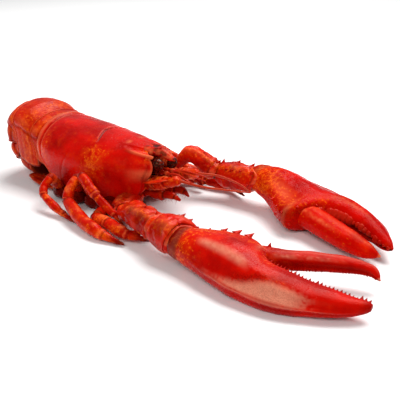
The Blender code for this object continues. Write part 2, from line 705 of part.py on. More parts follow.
def centre_on_footprint():
    """Moves every piece so that the origin is the middle of the box's bottom."""
    bpy.context.view_layer.update()
    graph = bpy.context.evaluated_depsgraph_get()
    corners = []
    for part in lobster.objects:
        shape = part.evaluated_get(graph)
        corners += [vertex.co.copy() for vertex in shape.to_mesh().vertices]
        shape.to_mesh_clear()
    low = [min(corner[axis] for corner in corners) for axis in range(3)]
    high = [max(corner[axis] for corner in corners) for axis in range(3)]
    shift = Vector((-(low[0] + high[0]) / 2, -(low[1] + high[1]) / 2, -low[2]))
    for piece in list(lobster.objects) + list(cutters.objects):
        piece.location += shift


for leftover in list(bpy.data.objects):
    bpy.data.objects.remove(leftover)
lobster = bpy.data.collections.new("lobster")
cutters = bpy.data.collections.new("cutters")
bpy.context.scene.collection.children.link(lobster)
bpy.context.scene.collection.children.link(cutters)
cutters.hide_render = True

make_carapace()
make_sternum()
make_tail()
make_fan()
make_arms_and_claws()
make_legs()
make_head()
centre_on_footprint()
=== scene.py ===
"""A cooked lobster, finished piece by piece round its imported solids.

Units are metres. Routes and sizes are given from the eye sockets: x forward, y to the
animal's left, z up from the table. The sockets' own place comes from the frame.
"""

import math

import bpy
import numpy as np
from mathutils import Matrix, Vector


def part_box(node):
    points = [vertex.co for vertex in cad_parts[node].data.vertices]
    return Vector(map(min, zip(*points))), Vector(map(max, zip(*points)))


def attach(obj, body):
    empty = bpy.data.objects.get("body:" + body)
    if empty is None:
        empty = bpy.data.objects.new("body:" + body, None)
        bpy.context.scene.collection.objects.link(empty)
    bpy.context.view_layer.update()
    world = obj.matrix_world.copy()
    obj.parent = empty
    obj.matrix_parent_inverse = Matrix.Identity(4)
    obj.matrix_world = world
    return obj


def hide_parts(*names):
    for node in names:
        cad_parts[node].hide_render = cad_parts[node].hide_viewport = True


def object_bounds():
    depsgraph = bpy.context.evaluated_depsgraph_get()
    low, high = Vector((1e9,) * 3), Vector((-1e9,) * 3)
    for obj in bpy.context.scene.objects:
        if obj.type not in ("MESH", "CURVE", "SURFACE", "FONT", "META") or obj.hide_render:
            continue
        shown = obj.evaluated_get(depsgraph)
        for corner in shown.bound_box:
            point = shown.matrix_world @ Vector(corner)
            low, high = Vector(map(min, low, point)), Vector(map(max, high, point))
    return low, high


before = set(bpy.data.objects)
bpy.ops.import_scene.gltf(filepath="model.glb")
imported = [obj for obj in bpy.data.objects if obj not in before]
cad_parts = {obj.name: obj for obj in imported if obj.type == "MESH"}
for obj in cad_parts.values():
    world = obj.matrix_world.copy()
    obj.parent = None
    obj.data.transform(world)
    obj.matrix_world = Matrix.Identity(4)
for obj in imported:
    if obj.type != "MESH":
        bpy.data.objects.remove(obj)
cad_low, cad_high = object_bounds()


# ------------------------------------------------------------------ underside
# The sternum is the narrow jointed plate that all the legs grow from. It is shell like
# the rest, thinner, and sits between the two lower edges of the carapace. It and its
# seams are painted darker as painted shade under the body.

ROSTRUM_LENGTH = 0.016
carapace_low, carapace_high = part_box("carapace")
SOCKETS = np.array((carapace_high.x - ROSTRUM_LENGTH, (carapace_low.y + carapace_high.y) / 2,
                    cad_low.z))
AHEAD, ACROSS, UP = np.eye(3)
TABLE_GAP = 0.00003
# What a skin carries at every point, from 0 to 1, for its finish to read.
# Pale and dark carry the shell's own paler and darker parts, and also painted highlights and
# painted shade.
MARKS = ("mottle", "pale", "dark", "stipple")


def at(rows, t):
    """Smooth values at t on the curve through rows of (t, value, value, ...)."""
    rows = np.array(rows, float)
    t = np.clip(np.asarray(t, float), rows[0, 0], rows[-1, 0])
    last = len(rows) - 1
    k = np.clip(np.searchsorted(rows[:, 0], t, side="right") - 1, 0, last - 1)
    before, here, there, after = (rows[np.clip(k + step, 0, last)] for step in (-1, 0, 1, 2))
    span = (there - here)[..., :1]
    f = (t[..., None] - here[..., :1]) / span
    leaving, arriving = ((end - start)[..., 1:] / (end - start)[..., :1] * span
                         for start, end in ((before, there), (here, after)))
    return ((2 * f**3 - 3 * f**2 + 1) * here[..., 1:] + (f**3 - 2 * f**2 + f) * leaving
            + (3 * f**2 - 2 * f**3) * there[..., 1:] + (f**3 - f**2) * arriving)


def rise(value, low, high):
    """0 below low, 1 above high and a smooth slope between them; high may be the lower."""
    f = np.clip((value - low) / (high - low), 0, 1)
    return f * f * (3 - 2 * f)


def between(value, start, full, fade, end):
    """0 up to start, 1 from full to fade, and 0 again from end."""
    return rise(value, start, full) * rise(value, end, fade)


def hump(value, middle, width):
    """1 in the middle, falling smoothly to 0 at that distance on either side."""
    return rise(abs(value - middle), width, 0)


def away(angles, angle):
    """How far angles lie from one angle, from -180 to 180 degrees."""
    return (angles - angle + 180) % 360 - 180


def unit(vector):
    return vector / (np.linalg.norm(vector, axis=-1, keepdims=True) + 1e-12)


def lumps(points, size, seed):
    """Smooth noise from -1 to 1, with lumps of that size in metres."""
    spots = points / size + (seed * 17.3, seed * 5.9, seed * 11.7)
    cell = np.floor(spots)
    f = spots - cell
    f = f * f * (3 - 2 * f)
    total = 0
    for corner in np.ndindex(2, 2, 2):
        value = np.sin((cell + corner) @ (127.1, 311.7, 74.7)) * 43758.5453
        total = total + np.prod(np.where(corner, f, 1 - f), axis=-1) * (value - np.floor(value))
    return total * 2 - 1


def rough(skin, *layers):
    """Layers of smooth noise on a skin, each one as (height, size, seed)."""
    return sum(height * lumps(skin.points, size, seed) for height, size, seed in layers)


def signed_power(value, power):
    return np.sign(value) * abs(value) ** power


class Skin:
    """A closed skin on a grid of points: rows along the piece, each one going round it."""

    def __init__(self, points):
        self.points = points
        self.marks = {name: np.zeros(points.shape[:2]) for name in MARKS}

    def outward(self):
        """The ways out of the skin at its points."""
        along = np.gradient(self.points, axis=0)
        round_it = np.roll(self.points, -1, axis=1) - np.roll(self.points, 1, axis=1)
        out = unit(np.cross(along, round_it))
        spokes = self.points - self.points.mean(axis=1, keepdims=True)
        return out * np.sign((spokes * out).sum())

    def swell(self, height):
        """Moves the skin outwards, or inwards where the height is negative."""
        self.points = self.points + self.outward() * np.asarray(height)[..., None]

    def mark(self, **amounts):
        """Adds to the marks that the finish reads."""
        for name, amount in amounts.items():
            self.marks[name] = np.clip(self.marks[name] + amount, 0, 1)

    def band(self, angle, width, start, full, fade, end):
        """1 along one angle, between four shares of the length."""
        return hump(self.angles, angle, width) * between(self.t, start, full, fade, end)

    def spot(self, angle, width, t, reach):
        """1 at one angle and share of the length, falling off both ways."""
        return hump(self.angles, angle, width) * hump(self.t, t, reach)

    def line(self, angle, first, last, count):
        """Points along the skin at one angle, from t first to last, and the ways out."""
        column = np.argmin(abs(away(self.angles[0], angle)))
        rows = [np.argmin(abs(self.t[:, 0] - t)) for t in np.linspace(first, last, count)]
        return self.points[rows, column], self.outward()[rows, column]

    def lie_flat(self):
        """What would reach below the table is pressed flat onto it."""
        self.points[..., 2] = np.maximum(self.points[..., 2], TABLE_GAP)

    def cap(self, first, last, shade=(0, 0), rows=6):
        """Closes each end with a dome of that depth; a negative depth makes a hollow."""
        turn = np.linspace(0, math.radians(86), rows + 1)[1:, None, None]
        for end, beside, depth, dark in ((0, 1, first, shade[0]), (-1, -2, last, shade[1])):
            ring = self.points[end]
            centre = ring.mean(axis=0)
            way = unit(centre - self.points[beside].mean(axis=0))
            dome = centre + (ring - centre) * np.cos(turn) + way * depth * np.sin(turn)

            def joined(grid, more):
                return np.concatenate([grid, more] if end else [more[::-1], grid])

            self.points = joined(self.points, dome)
            for name, values in self.marks.items():
                more = np.repeat(values[end][None], rows, axis=0)
                more = np.maximum(more, dark) if name == "dark" else more
                self.marks[name] = joined(values, more)


def ringed(t, centres, side, up, wide, high, low, around, squareness=2.0):
    """A skin of rings round a line of centres, from half-width, height and depth."""
    angle = np.linspace(0, math.tau, around, endpoint=False)
    across = signed_power(np.cos(angle), 2 / squareness)
    upright = signed_power(np.sin(angle), 2 / squareness)
    tall = np.where(upright > 0, high[:, None], low[:, None]) * upright
    skin = Skin(centres[:, None]
                + np.atleast_2d(side)[:, None] * (wide[:, None] * across)[..., None]
                + np.atleast_2d(up)[:, None] * tall[..., None])
    skin.t, skin.angles = t[:, None], np.degrees(angle)[None]
    return skin


def build(name, finish, *skins):
    """One object from skins given from the sockets, placed in the frame."""
    corners, faces, marks = [], [], {mark: [] for mark in MARKS}
    start = 0
    for skin in skins:
        rows, around = skin.points.shape[:2]
        points = np.concatenate([skin.points.reshape(-1, 3), skin.points[:1].mean(axis=1),
                                 skin.points[-1:].mean(axis=1)])
        index = np.arange(rows * around).reshape(rows, around)
        ahead = np.roll(index, -1, axis=1)
        quads = np.stack([index[:-1], ahead[:-1], ahead[1:], index[1:]], axis=-1).reshape(-1, 4)
        first = np.stack([ahead[0], index[0], np.full(around, rows * around)], axis=-1)
        last = np.stack([index[-1], ahead[-1], np.full(around, rows * around + 1)], axis=-1)
        a, b, c = (points[quads[:, k]] for k in (0, 1, 2))
        order = -1 if (np.cross(a, b) * c).sum() < 0 else 1
        for group in (quads, first, last):
            faces += (group[:, ::order] + start).tolist()
        corners.append(points)
        for mark, values in skin.marks.items():
            marks[mark] += [values.ravel(), [values[0].mean(), values[-1].mean()]]
        start += len(points)
    mesh = bpy.data.meshes.new(name)
    mesh.from_pydata(np.concatenate(corners) + SOCKETS, [], faces)
    for mark, values in marks.items():
        mesh.attributes.new(mark, "FLOAT", "POINT").data.foreach_set(
            "value", np.concatenate(values).astype(np.float32))
    mesh.shade_smooth()
    mesh.materials.append(finish)
    piece = bpy.data.objects.new(name, mesh)
    bpy.context.scene.collection.objects.link(piece)
    return piece


def fit(piece, slot, *nodes):
    """The piece moves with the lobster and stands for those solids."""
    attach(piece, "root")
    if nodes:
        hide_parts(*nodes)


def cover(node, finish, slot, *skins, ending="shell"):
    """The visible piece over one solid, named after it."""
    fit(build(f"{node}_{ending}", finish, *skins), slot, node)


class Wire:
    """An output socket that can be used in sums."""

    def __init__(self, bench, socket):
        self.bench, self.socket = bench, socket

    def __add__(self, other):
        return self.bench.maths("ADD", self, other)

    def __sub__(self, other):
        return self.bench.maths("SUBTRACT", self, other)

    def __rsub__(self, other):
        return self.bench.maths("SUBTRACT", other, self)

    def __mul__(self, other):
        return self.bench.maths("MULTIPLY", self, other)

    def __pow__(self, other):
        return self.bench.maths("POWER", self, other)

    __radd__, __rmul__ = __add__, __mul__


class Bench:
    """Adds nodes to one tree. A socket is fed by a wire or set to a constant."""

    def __init__(self, tree):
        self.tree = tree

    def feed(self, node, sockets):
        for key, value in sockets.items():
            if isinstance(value, Wire):
                self.tree.links.new(value.socket, node.inputs[key])
            else:
                node.inputs[key].default_value = value

    def node(self, kind, sockets=(), out=0, **settings):
        made = self.tree.nodes.new(kind)
        for name, value in settings.items():
            setattr(made, name, value)
        self.feed(made, dict(sockets))
        return Wire(self, made.outputs[out])

    def maths(self, operation, *values):
        return self.node("ShaderNodeMath", enumerate(values), operation=operation)

    def slope(self, value, low, high):
        return self.node("ShaderNodeMapRange", {0: value, 1: low, 2: high, 3: 0.0, 4: 1.0},
                         interpolation_type="SMOOTHSTEP")

    def mixed(self, factor, first, second):
        """Two colours mixed."""
        return self.node("ShaderNodeMix", {0: factor, 6: first, 7: second}, out=2,
                         data_type="RGBA")

    def noise(self, place, **sockets):
        return self.node("ShaderNodeTexNoise", {"Vector": place, **sockets})

    def surface(self, **sockets):
        """Feeds the shader itself; an underscore in a name stands for a space."""
        self.feed(self.tree.nodes["Principled BSDF"],
                  {name.replace("_", " "): value for name, value in sockets.items()})


def plain_finish(name):
    """A new material, the bench for its nodes, and the place on the piece."""
    made = bpy.data.materials.new(name)
    made.use_nodes = True
    bench = Bench(made.node_tree)
    return made, bench, bench.node("ShaderNodeTexCoord", out="Object")


DEEP_RED = (0.33, 0.0008, 0.0003, 1)
COOKED_RED = (0.60, 0.0030, 0.0005, 1)
ORANGE = (0.74, 0.052, 0.0020, 1)
FRECKLE = (0.86, 0.13, 0.004, 1)
PALE = (0.80, 0.20, 0.075, 1)
# The dark mark's colour: dark joint skin, and painted shade in creases, hollows and under the body.
JOINT_DARK_AND_SHADE = (0.045, 0.0006, 0.0003, 1)
SHINE_TINT = (1.0, 0.18, 0.08, 1)
SHELL_IOR = 1.40


def shell_finish(name, red=COOKED_RED, deep=DEEP_RED, orange=ORANGE, pale=PALE, spots=0.5,
                 roughness=0.27, pits=0.00016, shine=0.42):
    """Cooked shell: clouded red, orange mottling, fine pits and a wet shine; its pale and dark
    marks also paint highlights and shade.
    """
    made, bench, place = plain_finish(name)
    mottled, paled, darkened, stippled = (
        bench.node("ShaderNodeAttribute", out="Fac", attribute_name=mark) for mark in MARKS)
    cloud = bench.noise(place, Scale=48, Detail=3)
    glow = bench.noise(place, Scale=140, Detail=4, Roughness=0.6)
    blotch = bench.noise(place, Scale=460, Detail=5, Roughness=0.66)
    grain = bench.noise(place, Scale=1500, Detail=3, Roughness=0.6)
    freckles = bench.slope(blotch + mottled * 0.24, 0.70 - 0.10 * spots, 0.82)
    colour = red
    for share, layer in (
        (bench.slope(cloud, 0.35, 0.72), deep),
        (bench.slope(blotch + cloud * 0.3, 0.62, 0.92) * 0.35, deep),
        (bench.slope(glow + mottled * 0.22, 0.52, 0.86) * 0.45, orange),
        (freckles * bench.slope(grain, 0.36, 0.6) * 0.85, FRECKLE),
        (paled * (0.55 + blotch * 0.7), pale),
        (stippled * bench.slope(grain, 0.46, 0.60) * 0.6, JOINT_DARK_AND_SHADE),
        (darkened, JOINT_DARK_AND_SHADE),
    ):
        colour = bench.mixed(share, colour, layer)
    pores = bench.node("ShaderNodeTexVoronoi", {
        "Vector": place, "Scale": 620.0, "Smoothness": 0.35}, feature="SMOOTH_F1")
    height = bench.slope(pores, 0.05, 0.42) * 0.55 + blotch * 0.55 + grain * 0.16
    bench.surface(
        Base_Color=colour,
        Roughness=roughness + (blotch - 0.5) * 0.30 + (cloud - 0.5) * 0.12,
        Normal=bench.node("ShaderNodeBump", {"Height": height, "Distance": pits, "Strength": 1.0}),
        Specular_IOR_Level=shine, Specular_Tint=SHINE_TINT, IOR=SHELL_IOR)
    return made


# From the eye sockets (0) to the rear margin (1): width as a share of the greatest
# width, height of the widest line and height of the lower margin.
CARAPACE_LENGTH = 0.092
CARAPACE_WIDTH = 0.060
CARAPACE_ROWS = (
    (0.00, 0.467, 0.030, 0.0125), (0.12, 0.700, 0.029, 0.0048), (0.25, 0.850, 0.028, 0.0036),
    (0.50, 0.975, 0.027, 0.0044), (0.75, 1.000, 0.029, 0.0052), (0.90, 0.967, 0.031, 0.0062),
    (1.00, 0.883, 0.033, 0.0076),
)
MARGIN_ANGLE = math.radians(135)
UNDERSIDE_RISE = 0.004
STERNUM_HALF_WIDTH = 0.012
STERNUM_FLOOR = 0.0035
STERNUM_CLEARANCE = 0.0063
LEG_PAIR_STATIONS = (0.16, 0.30, 0.46, 0.64, 0.82)

s = np.linspace(0.02, 0.95, 110)
share, widest, margin = at(CARAPACE_ROWS, s).T
top = margin + UNDERSIDE_RISE + 0.001
bottom = STERNUM_FLOOR + 0.055 * np.maximum(0.15 - s, 0)
half_width = np.minimum(STERNUM_HALF_WIDTH, share * CARAPACE_WIDTH / 2 * math.sin(MARGIN_ANGLE)
                        - STERNUM_CLEARANCE)
centres = np.stack([-s * CARAPACE_LENGTH, 0 * s, (top + bottom) / 2], axis=-1)
sternum = ringed(s, centres, ACROSS, UP, half_width, (top - bottom) / 2, (top - bottom) / 2, 56,
                 4.0)
seams = sum(hump(sternum.t, station, 0.022) for station in LEG_PAIR_STATIONS)
sternum.swell(-0.0007 * seams)
# Painted shade under the body: the whole plate is darkened, its seams more.
sternum.mark(dark=0.35 + 0.5 * seams)
sternum.cap(0.001, 0.001)
cover("sternum", shell_finish("underside_shell", spots=0.9), "limb", sternum)


# ------------------------------------------------------------------- carapace
# One hard shell covers head and thorax, cast in a single piece: smooth and finely
# pitted, with a groove across its back, a rolled rear rim and a spined rostrum in front.

BACK_FRONT, BACK_REAR, BACK_BOW = 0.0435, 0.0517, 0.0013
FLANK_FULLNESS = 0.62
# How far the front edge stands forward of the sockets, by degrees from the mid line: a
# notch over each eye, a spine beside it, the cheek, then back to the lower corner.
FRONT_EDGE = (
    (0, 0.0), (20, 0.0), (32, -0.0016), (39, 0.0012), (44, 0.0056), (50, 0.0038), (60, 0.0060),
    (70, 0.0076), (80, 0.0078), (90, 0.0066), (100, 0.0035), (110, 0.0022), (120, 0.0005),
    (128, -0.0021), (135, -0.0050),
)
LEFT_CHEEK_WEAR = 0.58
GROOVE_DEPTH, GROOVE_WIDTH = 0.0012, 0.011


def traced(corners, counts):
    """Steps along the straight lines from corner to corner, so many to each line."""
    for (a0, b0), (a1, b1), count in zip(corners, corners[1:], counts):
        for f in np.linspace(0, 1, count + 1)[1:]:
            yield a0 + (a1 - a0) * f, b0 + (b1 - b0) * f


def carapace_skin():
    s = np.concatenate([np.linspace(0, 0.1, 26)[:-1], np.linspace(0.1, 0.93, 124)[:-1],
                        np.linspace(0.93, 1, 22)])[:, None]
    angle = np.linspace(-MARGIN_ANGLE, MARGIN_ANGLE, 221)[None]
    share, widest, margin = np.moveaxis(at(CARAPACE_ROWS, s), -1, 0)
    half_width = share * CARAPACE_WIDTH / 2
    drop = np.cos(angle)
    back = BACK_FRONT + (BACK_REAR - BACK_FRONT) * s + BACK_BOW * np.sin(math.pi * s)
    below = (widest - margin) / -math.cos(MARGIN_ANGLE)
    z = widest + drop * np.where(drop > 0, back - widest, below)
    turned = np.degrees(abs(angle))
    edge = at(FRONT_EDGE, turned)[..., 0]
    # The left cheek is worn back a little, its spine too.
    edge = edge * (1 - LEFT_CHEEK_WEAR * (angle > 0) * between(turned, 34, 42, 92, 118))
    corner = 0.012 * rise(turned, 94, 135) * rise(s, 0.78, 1)
    x = -s * CARAPACE_LENGTH + edge * rise(s, 0.13, 0) + corner
    y = half_width * signed_power(np.sin(angle), 1 - FLANK_FULLNESS * rise(turned, 90, 135))
    outer = np.stack([x, y + 0 * x, z + 0 * x], axis=-1)

    reach = half_width * math.sin(MARGIN_ANGLE)**(1 - FLANK_FULLNESS)
    floor = margin + UNDERSIDE_RISE
    corners = ((reach, margin), (reach - 0.002, margin + 0.0005), (reach - 0.006, floor),
               (-reach + 0.006, floor), (-reach + 0.002, margin + 0.0005), (-reach, margin))
    under = [np.stack([x[:, -1:], y, z], axis=-1) for y, z in traced(corners, (4, 6, 14, 6, 4))]
    under = np.concatenate(under[:-1], axis=1)
    skin = Skin(np.concatenate([outer, under], axis=1))

    def seen(values):
        """Values on the back and flanks, and 0 on the hidden underside."""
        return np.pad(np.broadcast_to(values, outer.shape[:2]), ((0, 0), (0, under.shape[1])))

    # The cervical groove drops straight down the flank, then turns forward and fades.
    groove_at = 0.487 - 0.05 * rise(turned, 4, 36) - 0.16 * rise(turned, 40, 100)
    upper = rise(turned, 42, 27)
    groove = hump(s, groove_at, GROOVE_WIDTH) * (0.18 + 0.82 * upper) * rise(turned, 112, 92)
    behind = hump(s, groove_at + 0.018, 0.020) * rise(turned, 46, 26)
    branch = (hump(s, 0.62 + 0.10 * rise(turned, 60, 115), 0.016)
              * between(turned, 62, 80, 104, 122))
    suture = hump(turned, 0, 1.6) * rise(s, 0.10, 0.16)
    brow = hump(turned, 44 - 50 * s, 6.5) * rise(s, 0.24, 0.10)
    ridge = hump(turned, 19 + 14 * s, 6) * between(s, 0.0, 0.06, 0.12, 0.34)
    cheek = hump(turned, 90, 17) * rise(s, 0.14, 0.02)
    rim_furrow = hump(s, 0.955, 0.011)
    rim = between(s, 0.962, 0.978, 0.995, 1.02)
    hem_furrow = hump(turned, 129.5, 2.0) * rise(s, 0.1, 0.2)
    front_furrow = hump(s, 0.030, 0.012) * rise(turned, 58, 70)
    height = (
        -GROOVE_DEPTH * groove + 0.00035 * behind - 0.0005 * branch - 0.00018 * suture
        + 0.0009 * brow + 0.0005 * ridge + 0.0012 * cheek - 0.0006 * rim_furrow + 0.0007 * rim
        - 0.0005 * hem_furrow - 0.0004 * front_furrow)
    pocks = rise(lumps(skin.points, 0.0017, 4), 0.72, 0.95)
    grain = rough(skin, (0.00028, 0.011, 1), (0.00012, 0.0042, 2), (0.00005, 0.0016, 3))
    skin.swell(seen(height) + seen(1) * (grain - 0.00018 * pocks))

    band = hump(s, 0.39, 0.20) * between(turned, 30, 56, 88, 124)
    rear_band = hump(s, 0.90, 0.09) * rise(turned, 20, 70)
    front_band = rise(s, 0.16, 0.02) * rise(turned, 100, 40)
    # Painted light: the paler brow, cheek and the spot behind the brow are painted highlights; the
    # groove and furrows are darkened as painted shade, and the hidden underside and the end caps,
    # the front hollow most, are painted dark as shade inside the shell.
    skin.mark(
        mottle=seen(band + 0.75 * rear_band + 0.8 * front_band + 0.5 * behind + 0.35 * branch),
        pale=seen(0.36 * rim + 0.55 * brow * rise(s, 0.2, 0.08) + 0.5 * cheek
                  + 0.25 * hump(s, 0.004, 0.012) * rise(turned, 40, 55)
                  + 0.30 * hump(s, 0.935, 0.008)
                  + 0.42 * hump(s, 0.215, 0.032) * hump(turned, 14, 9)),
        dark=seen(groove * (0.9 * upper + 0.10) + 0.35 * rim_furrow + 0.5 * hem_furrow
                  + 0.3 * front_furrow) + 0.75 * (1 - seen(1)))
    front_rim = skin.points[0].copy()
    skin.cap(-0.0105, 0.0012, shade=(1, 0.6), rows=9)
    return skin, front_rim


# From its root in the back (0) to its tip (1): half-width, height of its middle line,
# height above that line and depth below it.
ROSTRUM_ROOT, ROSTRUM_TIP = 0.016, 0.0158
ROSTRUM_ROWS = (
    (0.00, 0.0086, 0.0408, 0.0030, 0.0040), (0.25, 0.0080, 0.0412, 0.0036, 0.0040),
    (0.50, 0.0064, 0.0412, 0.0037, 0.0034), (0.68, 0.0048, 0.0411, 0.0037, 0.0030),
    (0.79, 0.0036, 0.0402, 0.0031, 0.0025), (0.89, 0.0023, 0.0388, 0.0022, 0.0018),
    (1.00, 0.0005, 0.0378, 0.0005, 0.0005),
)
# Angle round the rostrum, first and last place along it, and each spine's size.
ROSTRUM_SPINES = ((8, 0.58, 0.90, (0.75, 0.6, 0.4)), (172, 0.58, 0.90, (0.75, 0.6, 0.4)),
                  (66, 0.66, 0.68, (0.7,)), (114, 0.66, 0.68, (0.7,)))
spine_lines = []


def spine_row(skin, angle, first, last, sizes, lean=0):
    """Notes a row of spines along the skin at one angle, leaning that way."""
    points, out = skin.line(angle, first, last, len(sizes))
    spine_lines.append((points, out + lean, np.array(sizes)))


def rostrum_skin():
    t = np.linspace(0, 1, 90)
    half_width, middle, high, low = at(ROSTRUM_ROWS, t).T
    x = (ROSTRUM_TIP + ROSTRUM_ROOT) * t - ROSTRUM_ROOT
    centres = np.stack([x, 0 * x, middle], axis=-1)
    skin = ringed(t, centres, ACROSS, UP, half_width, high, low, 64, 2.5)
    t = skin.t
    across = skin.points[..., 1] / half_width[:, None]
    on_top = skin.points[..., 2] > centres[:, None, 2]
    trough = on_top * hump(across, 0, 0.6) * rise(t, 0.95, 0.6)
    skin.swell(-0.0009 * trough * (half_width / 0.0085)[:, None]
               + rough(skin, (0.00030, 0.0032, 5), (0.00016, 0.0015, 6)))
    patches = lumps(skin.points, 0.0026, 7) * rise(t, 0.2, 0.55)
    # Painted light: the paler upper edges are a painted highlight, and the trough along the top is
    # darkened as painted shade.
    skin.mark(mottle=0.45,
              pale=0.34 * on_top * rise(abs(across), 0.6, 0.85) + 0.35 * rise(patches, 0.4, 0.9),
              dark=0.35 * trough + 0.4 * rise(t, 0.95, 1) + 0.70 * rise(patches, 0.2, -0.5))
    for row in ROSTRUM_SPINES:
        spine_row(skin, *row, lean=(0.9, 0, 0.3))
    skin.cap(0.0005, 0.0004)
    return skin


shell, front_rim = carapace_skin()
cover("carapace", shell_finish("carapace_shell_finish", spots=0.35, roughness=0.26, shine=0.30),
      "shell", shell, rostrum_skin())

# Inside the front opening a dark wet skin closes the head behind eyes and feelers. It is painted
# near black, partly for that dark skin and partly as painted shade in the opening.
LINING_FRONT, LINING_BACK = 0.0085, 0.0098
LINING_SHARE, LINING_SETBACK = 0.985, 0.0006
HEAD_SKIN_AND_SHADE = shell_finish("head_skin_and_shade_finish", red=(0.020, 0.0012, 0.0006, 1),
                         deep=(0.006, 0.0008, 0.0006, 1), orange=(0.10, 0.006, 0.001, 1),
                         spots=0.3, roughness=0.5, shine=0.08)
middle = front_rim.mean(axis=0)
turn = np.radians(np.concatenate([np.linspace(86, 0, 12), np.linspace(0, 86, 12)]))[:, None, None]
depth = np.repeat((LINING_FRONT, LINING_BACK), 12)[:, None, None]
lining = Skin(middle + (front_rim - middle) * LINING_SHARE * np.cos(turn)
              - AHEAD * (depth * np.sin(turn) + LINING_SETBACK))
fit(build("head_skin_and_shade", HEAD_SKIN_AND_SHADE, lining), "limb")


# ----------------------------------------------------------------------- tail
# Six shell rings joined by soft skin so that the tail curls. Each ring's rear rim laps
# over the next one's front, and each side ends in a rounded lappet.

TAIL_RADIUS = 0.0295
TAIL_TOP = 0.059
TAIL_STRAIGHT = 0.0195
TAIL_DIP = 0.0026
TAIL_HALF_WIDTH = 0.0272
TAIL_DEPTH = 0.020
TAIL_TAPER = 0.062
TAIL_SHOULDER = 2.35
SOMITE_LENGTHS = (0.0085, 0.0210, 0.0200, 0.0195, 0.0195, 0.0235)
RING_LAP, RING_GAP = 0.0016, 0.0002
# How far each ring's side lappet hangs below the body of the tail, and how much of it
# hangs straight down instead of along the ring.
LAPPETS = ((0.0140, 1), (0.0192, 1), (0.0175, 1), (0.0080, 0.4), (0.0055, 0), (0.0055, 0))
# From a ring's front (0) to its rear (1): width and reach of the side lappet.
SOMITE_ROWS = ((0.0, 0.965, 0.10), (0.3, 1.000, 0.60), (0.65, 1.010, 1.00), (0.88, 1.0, 0.86),
               (1.0, 0.990, 0.50))
# Height of a ring's back from its front to its rear: tucked in, furrowed, then rimmed.
SOMITE_RELIEF = ((0.00, -0.0016), (0.05, -0.0013), (0.12, -0.0002), (0.19, -0.0003),
                 (0.26, 0.0002), (0.60, 0.0003), (0.84, 0.0003), (0.90, 0.0001),
                 (0.95, 0.0006), (0.99, 0.0004), (1.00, 0.0001))
# The first two rings' sides meet along an edge that is shifted forward.
FIRST_TUCK, FIRST_SHIFT, FIRST_NARROWING = 0.0125, 0.0050, 0.115
TAIL = shell_finish("tail_shell_finish", red=(0.52, 0.012, 0.0010, 1),
                    orange=(0.70, 0.075, 0.0030, 1), spots=0.75, roughness=0.30, shine=0.26)


def tail_path(a):
    """Points of the tail's back at arc lengths a, and the ways out of it."""
    f = a[:, None] / TAIL_STRAIGHT
    tilt = math.radians(7) * (f - 1)
    start = np.array((-CARAPACE_LENGTH, 0, BACK_REAR))
    end = np.array((-CARAPACE_LENGTH - TAIL_STRAIGHT, 0, TAIL_TOP))
    turn = np.maximum(a[:, None] - TAIL_STRAIGHT, 0) / TAIL_RADIUS
    full = 2 / np.where(turn < math.pi / 2, TAIL_SHOULDER, 2)

    def curled(power):
        return UP * signed_power(np.cos(turn), power) - AHEAD * signed_power(np.sin(turn), power)

    straight = f < 1
    way = np.where(straight, start + (end - start) * f,
                   end - UP * TAIL_RADIUS + curled(full) * TAIL_RADIUS)
    way[:, 2] -= TAIL_DIP * hump(a, 0.012, 0.022)
    return way, np.where(straight, UP * np.cos(tilt) - AHEAD * np.sin(tilt),
                         unit(curled(2 - full)))


